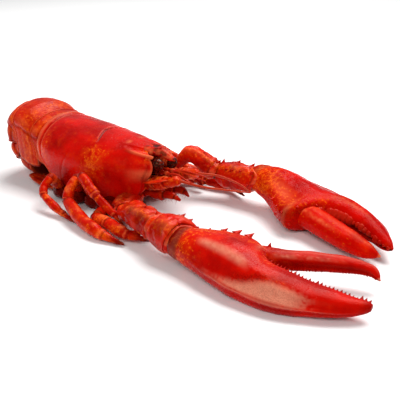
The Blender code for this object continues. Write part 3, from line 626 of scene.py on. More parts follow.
def somite_skin(number, start, length):
    t = np.concatenate([np.linspace(0, 0.85, 34)[:-1], np.linspace(0.85, 1, 14)])
    points, out = tail_path(start - RING_LAP + (length + RING_LAP - RING_GAP) * t)
    width, lappet = at(SOMITE_ROWS, t).T
    if number <= 2:
        lappet = 0.80 + 0.20 * np.sin(math.pi * np.clip(t * 1.05, 0, 1))**0.7
    taper = 1 - TAIL_TAPER * (number - 1)
    half_width = TAIL_HALF_WIDTH * taper * width * (0.93 if number == 1 else 1)
    hang, plumb = LAPPETS[number - 1]
    reach = 0.0008 + hang * lappet
    widest = 0.62 * TAIL_DEPTH + 0 * t
    tip = TAIL_DEPTH + reach
    arch = np.linspace(0, math.pi / 2, 60)
    outline = [(math.sin(angle), widest * (1 - math.cos(angle))) for angle in arch]
    outline += traced(
        ((1.0, widest), (0.985, (widest + tip) / 2), (0.955, tip - 0.0009), (0.935, tip),
         (0.91, tip - 0.0008), (0.90, TAIL_DEPTH + 0.3 * reach), (0.86, TAIL_DEPTH + 0 * t),
         (0, TAIL_DEPTH - 0.0012 + 0 * t)), (16, 16, 5, 4, 8, 6, 14))
    across = np.stack([half_width * share for share, _ in outline], axis=1)
    depth = np.stack([depth for _, depth in outline], axis=1)
    across = np.concatenate([across, -across[:, -2:0:-1]], axis=1)
    depth = np.concatenate([depth, depth[:, -2:0:-1]], axis=1)
    hanging = plumb * np.maximum(depth - TAIL_DEPTH, 0)
    skin = Skin(points[:, None] - out[:, None] * (depth - hanging)[..., None]
                - UP * hanging[..., None] + ACROSS * across[..., None])
    t, half_width, widest, tip = (row[:, None] for row in (t, half_width, widest, tip))
    low = rise(depth, widest, TAIL_DEPTH + 0.006)
    if number == 1:
        # This ring's lappet reaches forward inside the carapace's rear corner.
        front = low * rise(t, 1.0, 0.4)
        skin.points[..., 0] += FIRST_TUCK * front + FIRST_SHIFT * low * rise(t, 0.4, 1)
        skin.points[..., 1] *= 1 - FIRST_NARROWING * front
    if number == 2:
        # Its front edge follows that of the ring before it.
        skin.points[..., 0] += FIRST_SHIFT * low * rise(t, 0.6, 0)
    spread = abs(across) / half_width
    outside = (depth < tip - 0.001) & (spread > 0.86) | (depth < widest)
    side = hump(depth, widest + 0.0015, 0.0022) * (spread > 0.9)
    boss = hump(depth, widest - 0.0035, 0.004) * hump(t, 0.5, 0.4) * (spread > 0.8)
    skin.swell(outside * (
        at(SOMITE_RELIEF, t[:, 0]) - 0.0005 * side + 0.0005 * boss
        + rough(skin, (0.00026, 0.009, 21), (0.0001, 0.0032, 22), (0.00005, 0.0015, 23))))
    # Painted light: the streaks low on the sides are painted highlights; the tucked-in front of
    # each ring, the side and rim furrows, the inside and the end caps are darkened as painted
    # shade.
    streak_highlights = hump(np.sin(t * 30 + 1.5 * lumps(skin.points, 0.012, 24)), 1, 0.9)
    skin.mark(
        pale=outside * (0.30 * between(t, 0.925, 0.945, 0.99, 1.02) + 0.15 * boss
                        + 0.22 * streak_highlights * rise(depth, 0.014, 0.02)
                        + 0.3 * hump(depth, tip - 0.0012, 0.002)),
        mottle=outside * (0.35 + 0.35 * hump(t, 0.35, 0.3)),
        dark=outside * (0.75 * rise(t, 0.12, 0.03) * (number > 1) + 0.3 * side
                        + 0.35 * hump(t, 0.905, 0.03)) + 0.6 * ~outside)
    skin.cap(0.0004, 0.0004, shade=(0.8, 0.7), rows=3)
    skin.lie_flat()
    return skin


start = 0
for number, length in enumerate(SOMITE_LENGTHS, 1):
    cover(f"somite_{number}", TAIL, "shell", somite_skin(number, start, length))
    start += length


# ------------------------------------------------------------------- tail fan
# Thin shell blades hinged to the last ring, lying back-down on the table: the telson in
# the middle and two blades on each side, ribbed along and fringed with hair.

FAN_THICKNESS = 0.0021
# From root (0) to end (1): half-width, and thickness as a share of FAN_THICKNESS.
TELSON_ROWS = ((0, 0.0085, 1.3), (0.15, 0.0098, 1.1), (0.6, 0.0088, 0.9), (0.9, 0.0070, 0.6),
               (1, 0.0045, 0.5))
INNER_BLADE_ROWS = ((0, 0.0030, 1.2), (0.3, 0.0056, 1.0), (0.65, 0.0064, 0.8),
                    (0.9, 0.0050, 0.6), (1, 0.0028, 0.4))
OUTER_BLADE_ROWS = ((0, 0.0030, 1.2), (0.3, 0.0064, 1.0), (0.65, 0.0076, 0.8),
                    (0.9, 0.0060, 0.6), (1, 0.0032, 0.4))
TELSON_LENGTH, INNER_LENGTH, OUTER_LENGTH = 0.034, 0.034, 0.0362
BLADE_SPLAY = math.radians(6)
INNER_SPREAD, OUTER_SPREAD, OUTER_LIFT = 0.0142, 0.0185, 1.4 * FAN_THICKNESS
# The fringe's line: rows in from the blade's end, steps over it, and the hair's size.
FRINGE_ROW, FRINGE_STEPS, FRINGE_HAIR = 8, 12, 1.5
FAN = shell_finish("fan_shell_finish", red=(0.46, 0.008, 0.001, 1), spots=0.7, roughness=0.32)
fringe_lines = []


def add_blade(node, root, heading, length, rows, rib_count, seam):
    """A flat blade with ribs along it and a seam across, lying on its root's level."""
    count, around = 90, 76
    t = np.linspace(0, 1, count)
    ahead = AHEAD * math.cos(heading) + ACROSS * math.sin(heading)
    side = ACROSS * math.cos(heading) - AHEAD * math.sin(heading)
    half_width, thick = at(rows, t).T
    half_width = half_width * rise(t, 1.06, 0.9)**0.35
    half = thick * FAN_THICKNESS / 2
    centres = np.array(root) + ahead * (length * t)[:, None] + UP * half[:, None]
    skin = ringed(t, centres, side, UP, half_width, half, half, around, 2.6)
    t = skin.t
    across = ((skin.points - centres[:, None]) @ side) / half_width[:, None]
    upper = skin.points[..., 2] > centres[:, None, 2]
    ribs = np.cos(across * math.pi * rib_count) * rise(abs(across), 0.95, 0.8)
    seam_line = hump(t, seam, 0.03)
    skin.points[..., 2] += upper * (0.00016 * ribs * rise(t, 0.03, 0.2) - 0.0003 * seam_line
                                    + rough(skin, (0.00008, 0.0022, 31)))
    skin.mark(mottle=0.5 + 0.3 * ribs,
              pale=0.5 * rise(t, 0.86, 0.98) + 0.25 * rise(abs(across), 0.85, 1),
              dark=0.45 * rise(t, 0.1, 0) + 0.45 * seam_line * upper)
    columns = [around * k // (2 * FRINGE_STEPS) for k in range(FRINGE_STEPS + 1)]
    tips = skin.points[count - FRINGE_ROW, columns]
    fringe_lines.append((tips, np.tile(ahead, (len(tips), 1)), FRINGE_HAIR))
    skin.cap(0.0006, 0.0016)
    cover(node, FAN, "fan", skin)


fan_x = tail_path(np.array([sum(SOMITE_LENGTHS)]))[0][0, 0] + 0.0004
add_blade("telson", (fan_x, 0, 0), 0, TELSON_LENGTH, TELSON_ROWS, rib_count=4, seam=0.08)
for side, sign in (("left", 1), ("right", -1)):
    add_blade(f"uropod_inner_{side}", (fan_x + 0.001, sign * INNER_SPREAD, 0),
              sign * BLADE_SPLAY, INNER_LENGTH, INNER_BLADE_ROWS, rib_count=3, seam=0.12)
    add_blade(f"uropod_outer_{side}", (fan_x, sign * OUTER_SPREAD, OUTER_LIFT),
              sign * BLADE_SPLAY, OUTER_LENGTH, OUTER_BLADE_ROWS, rib_count=3, seam=0.68)


# ----------------------------------------------------------------- claw arms
# Three stout tubes of shell on each side, hinged end to end by soft dark skin: ischium,
# merus and carpus. The last two carry short spines along their upper inner edges.

RIGHT_ARM = ((-0.013, -0.006, 0.0095), (-0.008, -0.025, 0.0075), (0.003, -0.0355, 0.0100),
             (0.025, -0.0460, 0.0145), (0.0485, -0.0527, 0.0160), (0.0575, -0.0550, 0.0158),
             (0.0650, -0.0552, 0.0140))
LEFT_ARM = ((-0.012, 0.006, 0.0095), (-0.010, 0.018, 0.0110), (-0.008, 0.0275, 0.0200),
            (0.0015, 0.0355, 0.0285), (0.0195, 0.0415, 0.0190), (0.034, 0.0455, 0.0172),
            (0.0490, 0.0465, 0.0187))
RIGHT_ARM_RADII = (
    ((0, 0.0050), (0.15, 0.0062), (0.5, 0.0072), (0.85, 0.0070), (0.95, 0.0068), (1, 0.0060)),
    ((0, 0.0056), (0.12, 0.0070), (0.5, 0.0090), (0.86, 0.0096), (0.95, 0.0095), (1, 0.0082)),
    ((0, 0.0072), (0.14, 0.0108), (0.4, 0.0130), (0.7, 0.0130), (0.88, 0.0119), (1, 0.0095)),
)
LEFT_ARM_RADII = (
    ((0, 0.0046), (0.15, 0.0052), (0.5, 0.0050), (0.85, 0.0050), (0.95, 0.0049), (1, 0.0044)),
    ((0, 0.0040), (0.12, 0.0048), (0.5, 0.0058), (0.86, 0.0072), (0.95, 0.0072), (1, 0.0064)),
    ((0, 0.0056), (0.14, 0.0088), (0.4, 0.0104), (0.7, 0.0107), (0.88, 0.0104), (1, 0.0088)),
)
MERUS_SPINES = ((90, 0.68, 0.94, (0.8, 1.3)),)
RIGHT_CARPUS_SPINES = ((135, 0.30, 0.90, (0.8, 1.3, 1.0, 1.4)), (90, 0.40, 0.84, (0.6, 1.0)),
                       (180, 0.50, 0.88, (0.8, 1.2)))
LEFT_CARPUS_SPINES = ((45, 0.30, 0.90, (0.8, 1.3, 1.0, 1.4)), (114, 0.08, 0.85, (1.6, 1.3, 1.8)),
                      (0, 0.50, 0.88, (0.8, 1.2)))
WRIST_CORNER = 0.0078
ARM = shell_finish("arm_shell_finish", red=(0.60, 0.0060, 0.0008, 1),
                   orange=(0.72, 0.036, 0.0016, 1), spots=0.9, roughness=0.21, shine=0.24)


def segments(route):
    """A limb's three segments, which share the points where they meet."""
    return route[:3], route[2:5], route[4:]


def sleeve(route, rows, along, around, flatness=1.0, squareness=2.0):
    """A skin round the smooth route through points, with radii from rows of (t, radius)."""
    route = np.array(route, float)
    knots = np.column_stack([np.linspace(0, 1, len(route)), route])
    t = (1 - np.cos(np.linspace(0, math.pi, along))) / 2 * 0.35 + np.linspace(0, 1, along) * 0.65
    ahead = unit(at(knots, t + 0.02) - at(knots, t - 0.02))
    side = unit(np.cross(ahead, UP))
    radius = at(rows, t)[:, 0]
    return ringed(t, at(knots, t), side, np.cross(side, ahead), radius, radius * flatness,
                  radius * flatness, around, squareness)


def arm_skin(route, radii, seed, ridged):
    skin = sleeve(route, radii, 84, 80, 0.9, 2.25)
    t, angles = skin.t, skin.angles
    turned = np.radians(angles)
    ridge = (hump(angles, 60, 30) + hump(angles, 120, 26))
    lip = hump(t, 0.955, 0.03) * (0.5 + 0.5 * np.cos(turned * 2 + seed))
    knuckle = skin.spot(5, 28, 0.96, 0.10) + skin.spot(180, 28, 0.96, 0.10)
    bulk = rough(skin, (0.0019, 0.015, seed), (0.0012, 0.0062, seed + 1),
                 (0.0004, 0.0026, seed + 2), (0.00018, 0.0013, 9))
    skin.swell(bulk * between(t, 0, 0.15, 0.9, 1) + 0.0009 * ridge * hump(t, 0.6, 0.5) * ridged
               + 0.0005 * lip + 0.0011 * knuckle - 0.0006 * hump(t, 0.895, 0.035))
    creases = rise(lumps(skin.points, 0.0062, seed + 1), 0.15, -0.7)
    # Painted light: the paler ridge is a painted highlight, and the furrow before the far end is
    # darkened as painted shade.
    skin.mark(mottle=0.48 + 0.3 * np.cos(turned * 3 + seed),
              pale=0.40 * lip + 0.22 * ridge * hump(t, 0.6, 0.4) + 0.35 * knuckle,
              dark=0.85 * rise(t, 0.09, 0) + 0.40 * hump(t, 0.895, 0.03) + 0.42 * creases)
    return skin


for side, arm, radii, carpus_spines, inner, corner_at in (
    ("right", RIGHT_ARM, RIGHT_ARM_RADII, RIGHT_CARPUS_SPINES, 180, -25),
    ("left", LEFT_ARM, LEFT_ARM_RADII, LEFT_CARPUS_SPINES, 0, 25),
):
    for number, (name, route, spines) in enumerate(zip(
            ("ischium", "merus", "carpus"), segments(arm), ((), MERUS_SPINES, carpus_spines))):
        skin = arm_skin(route, radii[number], 40 + 7 * number, number > 0)
        root, middle, end = np.array(route)
        if name == "carpus":
            # The inner upper corner runs forward over the wrist.
            corner = hump(away(skin.angles, inner), corner_at, 70) * rise(skin.t, 0.45, 1)
            skin.points += unit(end - middle) * (WRIST_CORNER * corner)[..., None]
        for row in spines:
            spine_row(skin, *row, lean=unit(end - root) * 0.5)
        skin.lie_flat()
        skin.cap(0.0022, 0.0016, shade=(0.9, 0.85))
        cover(f"{name}_{side}", ARM, "limb", skin)


# ---------------------------------------------------------------------- claws
# Each claw is one heavy shell, the palm running out into a fixed finger. The right one
# is the slim cutter and the left one the broad crusher; both lie flat on the table.

# From wrist (0) to tip (1), as shares of the claw's length: outer edge, inner edge,
# height above and depth below its middle plane.
CUTTER_ROWS = (
    (0.00, -0.098, 0.068, 0.066, 0.068), (0.06, -0.120, 0.088, 0.084, 0.084),
    (0.15, -0.150, 0.108, 0.098, 0.098), (0.28, -0.200, 0.122, 0.110, 0.106),
    (0.38, -0.236, 0.112, 0.110, 0.104), (0.44, -0.246, 0.060, 0.106, 0.100),
    (0.50, -0.252, -0.010, 0.100, 0.092), (0.60, -0.254, -0.040, 0.090, 0.082),
    (0.72, -0.236, -0.050, 0.074, 0.068), (0.84, -0.196, -0.054, 0.056, 0.052),
    (0.93, -0.150, -0.056, 0.040, 0.034), (0.98, -0.116, -0.052, 0.030, 0.018),
    (1.00, -0.097, -0.057, 0.020, 0.007),
)
CRUSHER_ROWS = (
    (0.00, -0.104, 0.062, 0.086, 0.070), (0.05, -0.136, 0.062, 0.090, 0.078),
    (0.13, -0.170, 0.064, 0.095, 0.100), (0.21, -0.188, 0.080, 0.092, 0.123),
    (0.33, -0.205, 0.126, 0.084, 0.128), (0.425, -0.218, 0.156, 0.080, 0.118),
    (0.48, -0.226, 0.130, 0.080, 0.113), (0.537, -0.230, -0.005, 0.077, 0.105),
    (0.63, -0.235, -0.063, 0.071, 0.091), (0.74, -0.219, -0.078, 0.061, 0.072),
    (0.85, -0.183, -0.072, 0.047, 0.055), (0.936, -0.139, -0.056, 0.035, 0.039),
    (0.98, -0.110, -0.056, 0.022, 0.024), (1.00, -0.093, -0.065, 0.011, 0.011),
)
CUTTER_TIP = (0.1830, -0.0373, 0.0088)
CRUSHER_TIP = (0.1610, 0.0125, 0.0075)
CUTTER_ROLL, CRUSHER_ROLL = math.radians(10), math.radians(-8)
CUTTER_KEEL, CRUSHER_KEEL = 0.0012, 0.0010
# The cutter's pale is the pink of the painted satin highlight on its palm.
CUTTER = shell_finish("cutter_shell_finish", red=(0.57, 0.0035, 0.0006, 1),
                      orange=(0.70, 0.028, 0.0012, 1), pale=(0.74, 0.27, 0.165, 1), spots=0.4,
                      roughness=0.26, pits=0.00013, shine=0.17)
CRUSHER = shell_finish("crusher_shell_finish", red=(0.55, 0.0025, 0.0005, 1),
                       orange=(0.68, 0.030, 0.0012, 1), spots=0.6, roughness=0.22,
                       pits=0.00013, shine=0.06)
# Where the painted satin highlight on the cutter's palm starts, in degrees, by share of its length.
SATIN_HIGHLIGHT_EDGE = ((0.20, 158), (0.30, 156), (0.40, 143), (0.46, 134), (0.52, 117), (0.60, 104),
              (0.80, 112))
CUTTER_SPINES = ((28, 0.20, 0.33, (1.7, 2.4, 2.2)), (16, 0.43, 0.43, (0.9,)),
                 (46, 0.14, 0.36, (0.6, 0.8)))
CRUSHER_SPINES = ((20, 0.28, 0.42, (1.1, 0.7, 1.0)), (350, 0.34, 0.47, (0.8, 0.6, 0.9)),
                  (48, 0.47, 0.52, (0.9, 0.7)))


def palm_skin(wrist, tip, sign, roll, rows, keel):
    """The palm and fixed finger, with the lean of its spines; sign is +1 on the left."""
    size = np.linalg.norm(np.array(tip) - wrist)
    along = unit(np.array(tip) - wrist)
    inward = unit(np.cross(UP, along)) * -sign
    up = unit(UP - along * along[2])
    inward, up = (inward * math.cos(roll) + up * math.sin(roll),
                  up * math.cos(roll) - inward * math.sin(roll))
    t = np.linspace(0, 1, 230)
    outer, inner, high, low = (at(rows, t) * size).T
    centres = wrist + along * (t * size)[:, None] + inward * ((outer + inner) / 2)[:, None]
    skin = ringed(t, centres, inward, up, (inner - outer) / 2, high, low, 150, 2.2)
    t, angles = skin.t, skin.angles
    # A keel along the outer edge with a hollow above it, and a shoulder over the palm.
    edge = skin.band(171, 11, 0.08, 0.24, 0.8, 0.98)
    socket = skin.spot(30, 60, 0.44, 0.05) + skin.spot(330, 50, 0.44, 0.05)
    biting = hump(away(angles, 0), 0, 24) * rise(t, 0.5, 0.56)
    skin.swell(keel * edge - 0.0012 * skin.band(146, 24, 0.18, 0.34, 0.62, 0.86)
               + 0.0008 * skin.band(106, 20, 0.08, 0.2, 0.4, 0.62)
               - 0.0009 * skin.band(62, 26, 0.1, 0.24, 0.36, 0.46)
               + 0.0008 * socket - 0.0004 * hump(t, 0.055, 0.03) - 0.0006 * biting)
    worn = rise(t, 0, 0.1)
    skin.swell(worn * rough(skin, (0.0007, 0.021, 61), (0.0003, 0.0085, 62),
                            (0.00009, 0.0031, 63)))
    heel = (skin.spot(10, 60, 0.46, 0.12) + skin.spot(370, 60, 0.46, 0.12)) * (sign > 0)
    skin.swell(heel * rough(skin, (0.0007, 0.0042, 67)))
    skin.swell(-0.00016 * rise(lumps(skin.points, 0.0021, 64), 0.66, 0.95) * worn)

    speckle = 0.5 + 0.5 * lumps(skin.points, 0.0013, 66)
    inner_side = hump(angles, 40, 70) * rise(t, 0.5, 0.36)
    if sign < 0:
        start = at(SATIN_HIGHLIGHT_EDGE, t)[..., 0]
        satin_highlight = between(angles, start, start + 26, 162, 171) * between(t, 0.20, 0.27, 0.66, 0.82)
        upper_satin_highlight = skin.band(109, 15, 0.13, 0.2, 0.40, 0.48)
        crest = skin.band(172, 5, 0.2, 0.34, 0.76, 0.9)
        shadowed = hump(angles, start + 2, 18) * hump(t, 0.50, 0.22)
        stippled, wrist_shade, bite_shade = 0.4 * inner_side, 0.66, 0.45
    else:
        satin_highlight = skin.spot(92, 22, 0.66, 0.24) * 0.3
        upper_satin_highlight = skin.spot(58, 30, 0.29, 0.19) * 0.5
        crest = 0.5 * edge
        shadowed = 0.6 * skin.spot(40, 40, 0.50, 0.05) + 0.7 * heel
        stippled, wrist_shade, bite_shade = 0, 0.35, 0.9
    # Painted light: the satin patches, the pale band along the crusher's outer edge and the pale
    # hinge knobs are painted highlights; the wrist crease and the biting edge are darkened as
    # painted shade.
    skin.mark(
        mottle=0.8 * rise(t, 0.30, 0.05) + 0.75 * inner_side * rise(t, 0, 0.1)
        + 0.55 * skin.spot(60, 70, 0.5, 0.16) + 0.6 * skin.spot(118, 30, 0.62, 0.16),
        pale=0.85 * satin_highlight * rise(speckle + 0.9 * satin_highlight, 0.30, 0.9)
        + 0.75 * upper_satin_highlight * (0.6 + 0.4 * speckle) + 0.40 * crest
        + 0.20 * hump(t, 0.03, 0.03) + 0.40 * socket * hump(t, 0.43, 0.03),
        stipple=0.35 * satin_highlight + 0.8 * shadowed + stippled,
        dark=wrist_shade * rise(t, 0.064, 0.038) + bite_shade * biting
        + 0.25 * rise(t, 0.94, 1.0) + 0.26 * shadowed * (0.5 + speckle)
        + 0.30 * hump(angles, 186, 9) * rise(t, 0.3, 0.5)
        + 0.25 * rise(lumps(skin.points, 0.014, 65), 0.5, 0.9) * hump(t, 0.55, 0.35))
    return skin, inward * 0.4 + along * 0.7


# ------------------------------------------------------------- moving fingers
# Each finger turns on two knobs at the end of the palm, in a socket lined with dark
# skin. The cutter's closes with sharp teeth; the crusher's has blunt ones.

CUTTER_FINGER = (
    (0.110, -0.0445, 0.0135), (0.1260, -0.0385, 0.0138), (0.1420, -0.0300, 0.0140),
    (0.1580, -0.0215, 0.0136), (0.1690, -0.0172, 0.0120), (0.1750, -0.0180, 0.0085),
)
CRUSHER_FINGER = (
    (0.090, 0.0330, 0.0125), (0.1050, 0.0270, 0.0118), (0.1220, 0.0205, 0.0108),
    (0.1380, 0.0150, 0.0095), (0.1520, 0.0120, 0.0080), (0.1600, 0.0135, 0.0060),
)
CUTTER_FINGER_RADII = ((0.0, 0.0060), (0.1, 0.0070), (0.2, 0.0067), (0.5, 0.0056),
                       (0.75, 0.0042), (0.92, 0.0022), (1.0, 0.0006))
CRUSHER_FINGER_RADII = ((0.0, 0.0080), (0.1, 0.0092), (0.2, 0.0090), (0.5, 0.0080),
                        (0.75, 0.0061), (0.92, 0.0032), (1.0, 0.0008))
# Teeth on each claw's fixed and moving edge: their angle, first and last share.
CUTTER_EDGES = ((38, 0.50, 0.985), (325, 0.16, 0.95))
CRUSHER_EDGES = ((14, 0.54, 0.985), (190, 0.16, 0.95))
CUTTER_KNUCKLE_SPINE = (120, 0.10, 0.13, (1.2,))
TOOTH_STEPS = 60
tooth_lines = {}


def finger_skin(route, radii, biting_side, mottle, bite_shade):
    skin = sleeve(route, radii, 150, 84, 0.85, 2.15)
    t, angles = skin.t, skin.angles
    crest = skin.band(90, 24, 0.1, 0.3, 0.8, 0.98)
    flat = hump(away(angles, biting_side), 0, 34) * rise(t, 0.1, 0.2)
    satin_highlight = skin.band(50, 20, 0.12, 0.2, 0.4, 0.62)
    skin.swell(0.0003 * crest - 0.0007 * flat + 0.0007 * hump(t, 0.06, 0.06)
               + rough(skin, (0.0004, 0.011, 71), (0.00016, 0.004, 72)))
    # Painted light: the satin patch and the pale line along the crest are painted highlights; the
    # biting side is darkened as painted shade.
    skin.mark(
        mottle=mottle + 0.6 * rise(t, 0.30, 0.05),
        pale=0.40 * hump(t, 0.05, 0.04) + 0.16 * crest + 0.55 * rise(t, 0.955, 0.99)
        + 0.5 * satin_highlight * (0.5 + 0.5 * lumps(skin.points, 0.0013, 73)),
        stipple=0.5 * hump(angles, 345, 50),
        dark=bite_shade * flat + 0.6 * rise(t, 0.03, 0))
    return skin


def add_claw(side, shell, palm, lean, spines, finger, edges):
    """One claw's palm and finger, with the lines for its spines and teeth."""
    for row in spines:
        spine_row(palm, *row, lean=lean)
    if side == "right":
        spine_row(finger, *CUTTER_KNUCKLE_SPINE)
    tooth_lines[side] = [skin.line(*edge, TOOTH_STEPS) for skin, edge in zip((palm, finger), edges)]
    for node, skin, root, shade in ((f"claw_{side}", palm, 0.0030, (0.9, 0.3)),
                                    (f"finger_{side}", finger, 0.0035, (0.8, 0))):
        skin.lie_flat()
        skin.cap(root, 0.0006, shade=shade)
        cover(node, shell, "shell", skin)


add_claw("right", CUTTER,
         *palm_skin(RIGHT_ARM[-1], CUTTER_TIP, -1, CUTTER_ROLL, CUTTER_ROWS, CUTTER_KEEL),
         CUTTER_SPINES, finger_skin(CUTTER_FINGER, CUTTER_FINGER_RADII, 0, 0.08, 0.4),
         CUTTER_EDGES)
add_claw("left", CRUSHER,
         *palm_skin(LEFT_ARM[-1], CRUSHER_TIP, 1, CRUSHER_ROLL, CRUSHER_ROWS, CRUSHER_KEEL),
         CRUSHER_SPINES, finger_skin(CRUSHER_FINGER, CRUSHER_FINGER_RADII, 180, 0.35, 0.9),
         CRUSHER_EDGES)


# --------------------------------------------------------------- walking legs
# Four pairs of slender legs fold along the body, each a chain of shell tubes with a
# flared collar at every joint. The first two pairs end in small pincers.

RIGHT_LEGS = (
    ((-0.025, -0.008, 0.006), (-0.023, -0.026, 0.0045), (-0.0119, -0.0485, 0.0052),
     (-0.0051, -0.0502, 0.0060), (0.0019, -0.0510, 0.0062), (0.0149, -0.0535, 0.0056),
     (0.0236, -0.0545, 0.0050), (0.0381, -0.0490, 0.0030)),
    ((-0.040, -0.008, 0.006), (-0.039, -0.022, 0.0045), (-0.0333, -0.0386, 0.0264),
     (-0.0245, -0.0416, 0.0230), (-0.0157, -0.0434, 0.0183), (-0.004, -0.0428, 0.0104),
     (0.0075, -0.0420, 0.0030)),
    ((-0.056, -0.008, 0.006), (-0.054, -0.022, 0.0045), (-0.0408, -0.0367, 0.0230),
     (-0.0396, -0.0440, 0.0176), (-0.0376, -0.0490, 0.0112), (-0.0169, -0.0575, 0.0072),
     (0.0014, -0.0622, 0.0050), (0.0143, -0.0624, 0.0034), (0.0253, -0.0612, 0.0018)),
    ((-0.072, -0.008, 0.006), (-0.070, -0.023, 0.0045), (-0.062, -0.042, 0.020),
     (-0.062, -0.048, 0.015), (-0.0585, -0.052, 0.011), (-0.041, -0.0545, 0.005),
     (-0.021, -0.0568, 0.0018)),
)
LEG_RADII = (
    ((0, 0.0032), (0.3, 0.0028), (0.6, 0.0032), (0.88, 0.0036), (0.96, 0.0036), (1, 0.0031)),
    ((0, 0.0029), (0.15, 0.0033), (0.5, 0.0034), (0.85, 0.0036), (0.95, 0.0034), (1, 0.0029)),
    ((0, 0.0028), (0.08, 0.0034), (0.35, 0.0036), (0.58, 0.0031), (0.64, 0.0028),
     (0.69, 0.0023), (0.9, 0.0013), (1, 0.0005)),
)
# How stout each pair is beside that: its wrist and its last segment.
STOUTNESS = ((1.22, 1.24), (1.02, 0.84), (1.06, 1.30), (0.86, 0.78))
HIP_RADII = ((0, 0.0040), (0.3, 0.0062), (0.56, 0.0070), (0.62, 0.0064), (0.7, 0.0069),
             (0.92, 0.0062), (1, 0.0036))
THUMB_RADII = ((0, 0.0018), (0.5, 0.0012), (1, 0.0004))
# How far and which way a pincer's thumb stands off the last segment.
THUMB_STANDOFF = 0.0034 * np.array((0.15, 0.55, 0.75))
# The row of the last segment's skin that the thumb grows from.
THUMB_ROOT_ROW = 34
JOINT_RADIUS = 0.0029
LEG_HAIR = 0.6
LEG = shell_finish("leg_shell_finish", red=(0.52, 0.0045, 0.0006, 1),
                   orange=(0.78, 0.062, 0.0022, 1), spots=0.8, roughness=0.22, shine=0.20)
hair_lines = []
joint_balls = []


def leg_skin(number, route, stout, seed):
    last = number == 2
    skin = sleeve(route, [(t, radius * stout) for t, radius in LEG_RADII[number]], 60, 30, 0.92)
    t = skin.t
    top_highlight_band = hump(skin.angles, 90, 42)
    collar = hump(t, 0.625, 0.035) if last else hump(t, 0.95, 0.05)
    waist = 0.5 * hump(t, 0.675, 0.03) if last else 0.4 * hump(t, 0.895, 0.03)
    skin.swell(rough(skin, (0.00045, 0.0055, seed), (0.00016, 0.0018, seed + 1))
               * rise(t, 0, 0.1) + 0.00012 * collar + 0.0002 * top_highlight_band)
    patches = rise(lumps(skin.points, 0.0042, seed + 2), -0.1, 0.6)
    # Painted light: the paler band along each leg's top is a painted highlight.
    skin.mark(pale=0.34 * top_highlight_band * patches * between(t, 0.05, 0.2, 0.8, 0.96) + 0.24 * collar,
              mottle=0.35 + 0.55 * patches + 0.4 * collar,
              dark=0.75 * rise(t, 0.06, 0) + 0.80 * rise(t, 0.70, 0.95) * last + waist)
    return skin


def hip_skin(root, knee, sign):
    """The short thick hip joint, one of the row under the shell's edge."""
    root, knee = np.array(root), np.array(knee)
    hip = sleeve((root, root + (0.001, sign * 0.010, -0.0008),
                  knee + (0.003, sign * 0.0035, 0.0004), knee + (0.004, sign * 0.0105, 0.0006)),
                 HIP_RADII, 50, 30, 0.74)
    hip.swell(rough(hip, (0.0005, 0.004, 88)))
    # Painted shade: the hips are painted near black for the shade under the shell's edge.
    hip.mark(dark=0.84 + 0.16 * hump(hip.t, 0.62, 0.06))
    hip.cap(0.001, 0.001)
    return hip


def thumb_skin(skin, sign):
    """The fixed thumb beside the last part of a pincer's skin."""
    rows = 26
    root, toe = skin.points[THUMB_ROOT_ROW].mean(axis=0), skin.points[-1].mean(axis=0)
    beside = THUMB_STANDOFF * (1, -sign, 1)
    thumb = sleeve((root + beside * 0.3, (root + toe) / 2 + beside,
                    toe + (root - toe) * 0.12 + beside * 0.55), THUMB_RADII, rows, 16)
    thumb.mark(dark=0.75 * rise(np.linspace(0, 1, rows), 0.3, 0.8)[:, None])
    thumb.cap(0.0008, 0.0004)
    return thumb


for pair, (leg, (wrist_stout, last_stout)) in enumerate(zip(RIGHT_LEGS, STOUTNESS), 1):
    for side, sign in (("right", -1), ("left", 1)):
        own = [(x, -sign * y, z) for x, y, z in leg]
        joint_balls += [(own[joint], JOINT_RADIUS * wrist_stout) for joint in (2, 4)]
        for number, (name, route, stout) in enumerate(zip(
                ("upper", "wrist", "lower"), segments(own), (1, wrist_stout, last_stout))):
            skin = leg_skin(number, route, stout, 80 + pair)
            skins = [skin]
            if name == "upper":
                skins.append(hip_skin(route[0], route[1], sign))
            if name == "lower":
                hair_lines += [(*skin.line(angle, 0.45, 0.93, 16), LEG_HAIR)
                               for angle in (40, 140, 220, 320)]
                if pair < 3:
                    skins.append(thumb_skin(skin, sign))
            skin.cap(0.0011, 0.0006 if name == "lower" else 0.0012, shade=(0.8, 0.5))
            for each in skins:
                each.lie_flat()
            cover(f"leg_{pair}_{name}_{side}", LEG, "limb", *skins)


# ----------------------------------------------------------------------- head
# Between the carapace's front edges: stalked eyes with glassy dark domes, the thick
# jointed bases of the antennae with a pointed scale beside each, and the mouth legs.

EYE_PATHS = {
    "left": ((-0.0060, 0.0030, 0.0325), (0.0025, 0.0060, 0.0322), (0.0092, 0.0104, 0.0318)),
    "right": ((-0.0060, -0.0030, 0.0330), (0.0035, -0.0058, 0.0340), (0.0112, -0.0100, 0.0366)),
}
EYE_RADII = ((0, 0.0024), (0.25, 0.0026), (0.50, 0.0030), (0.55, 0.0031), (0.58, 0.0033),
             (0.64, 0.0037), (0.70, 0.0040), (0.76, 0.0041), (0.82, 0.0040), (0.88, 0.0036),
             (0.93, 0.0030), (0.965, 0.0022), (0.988, 0.0013), (1, 0.0004))
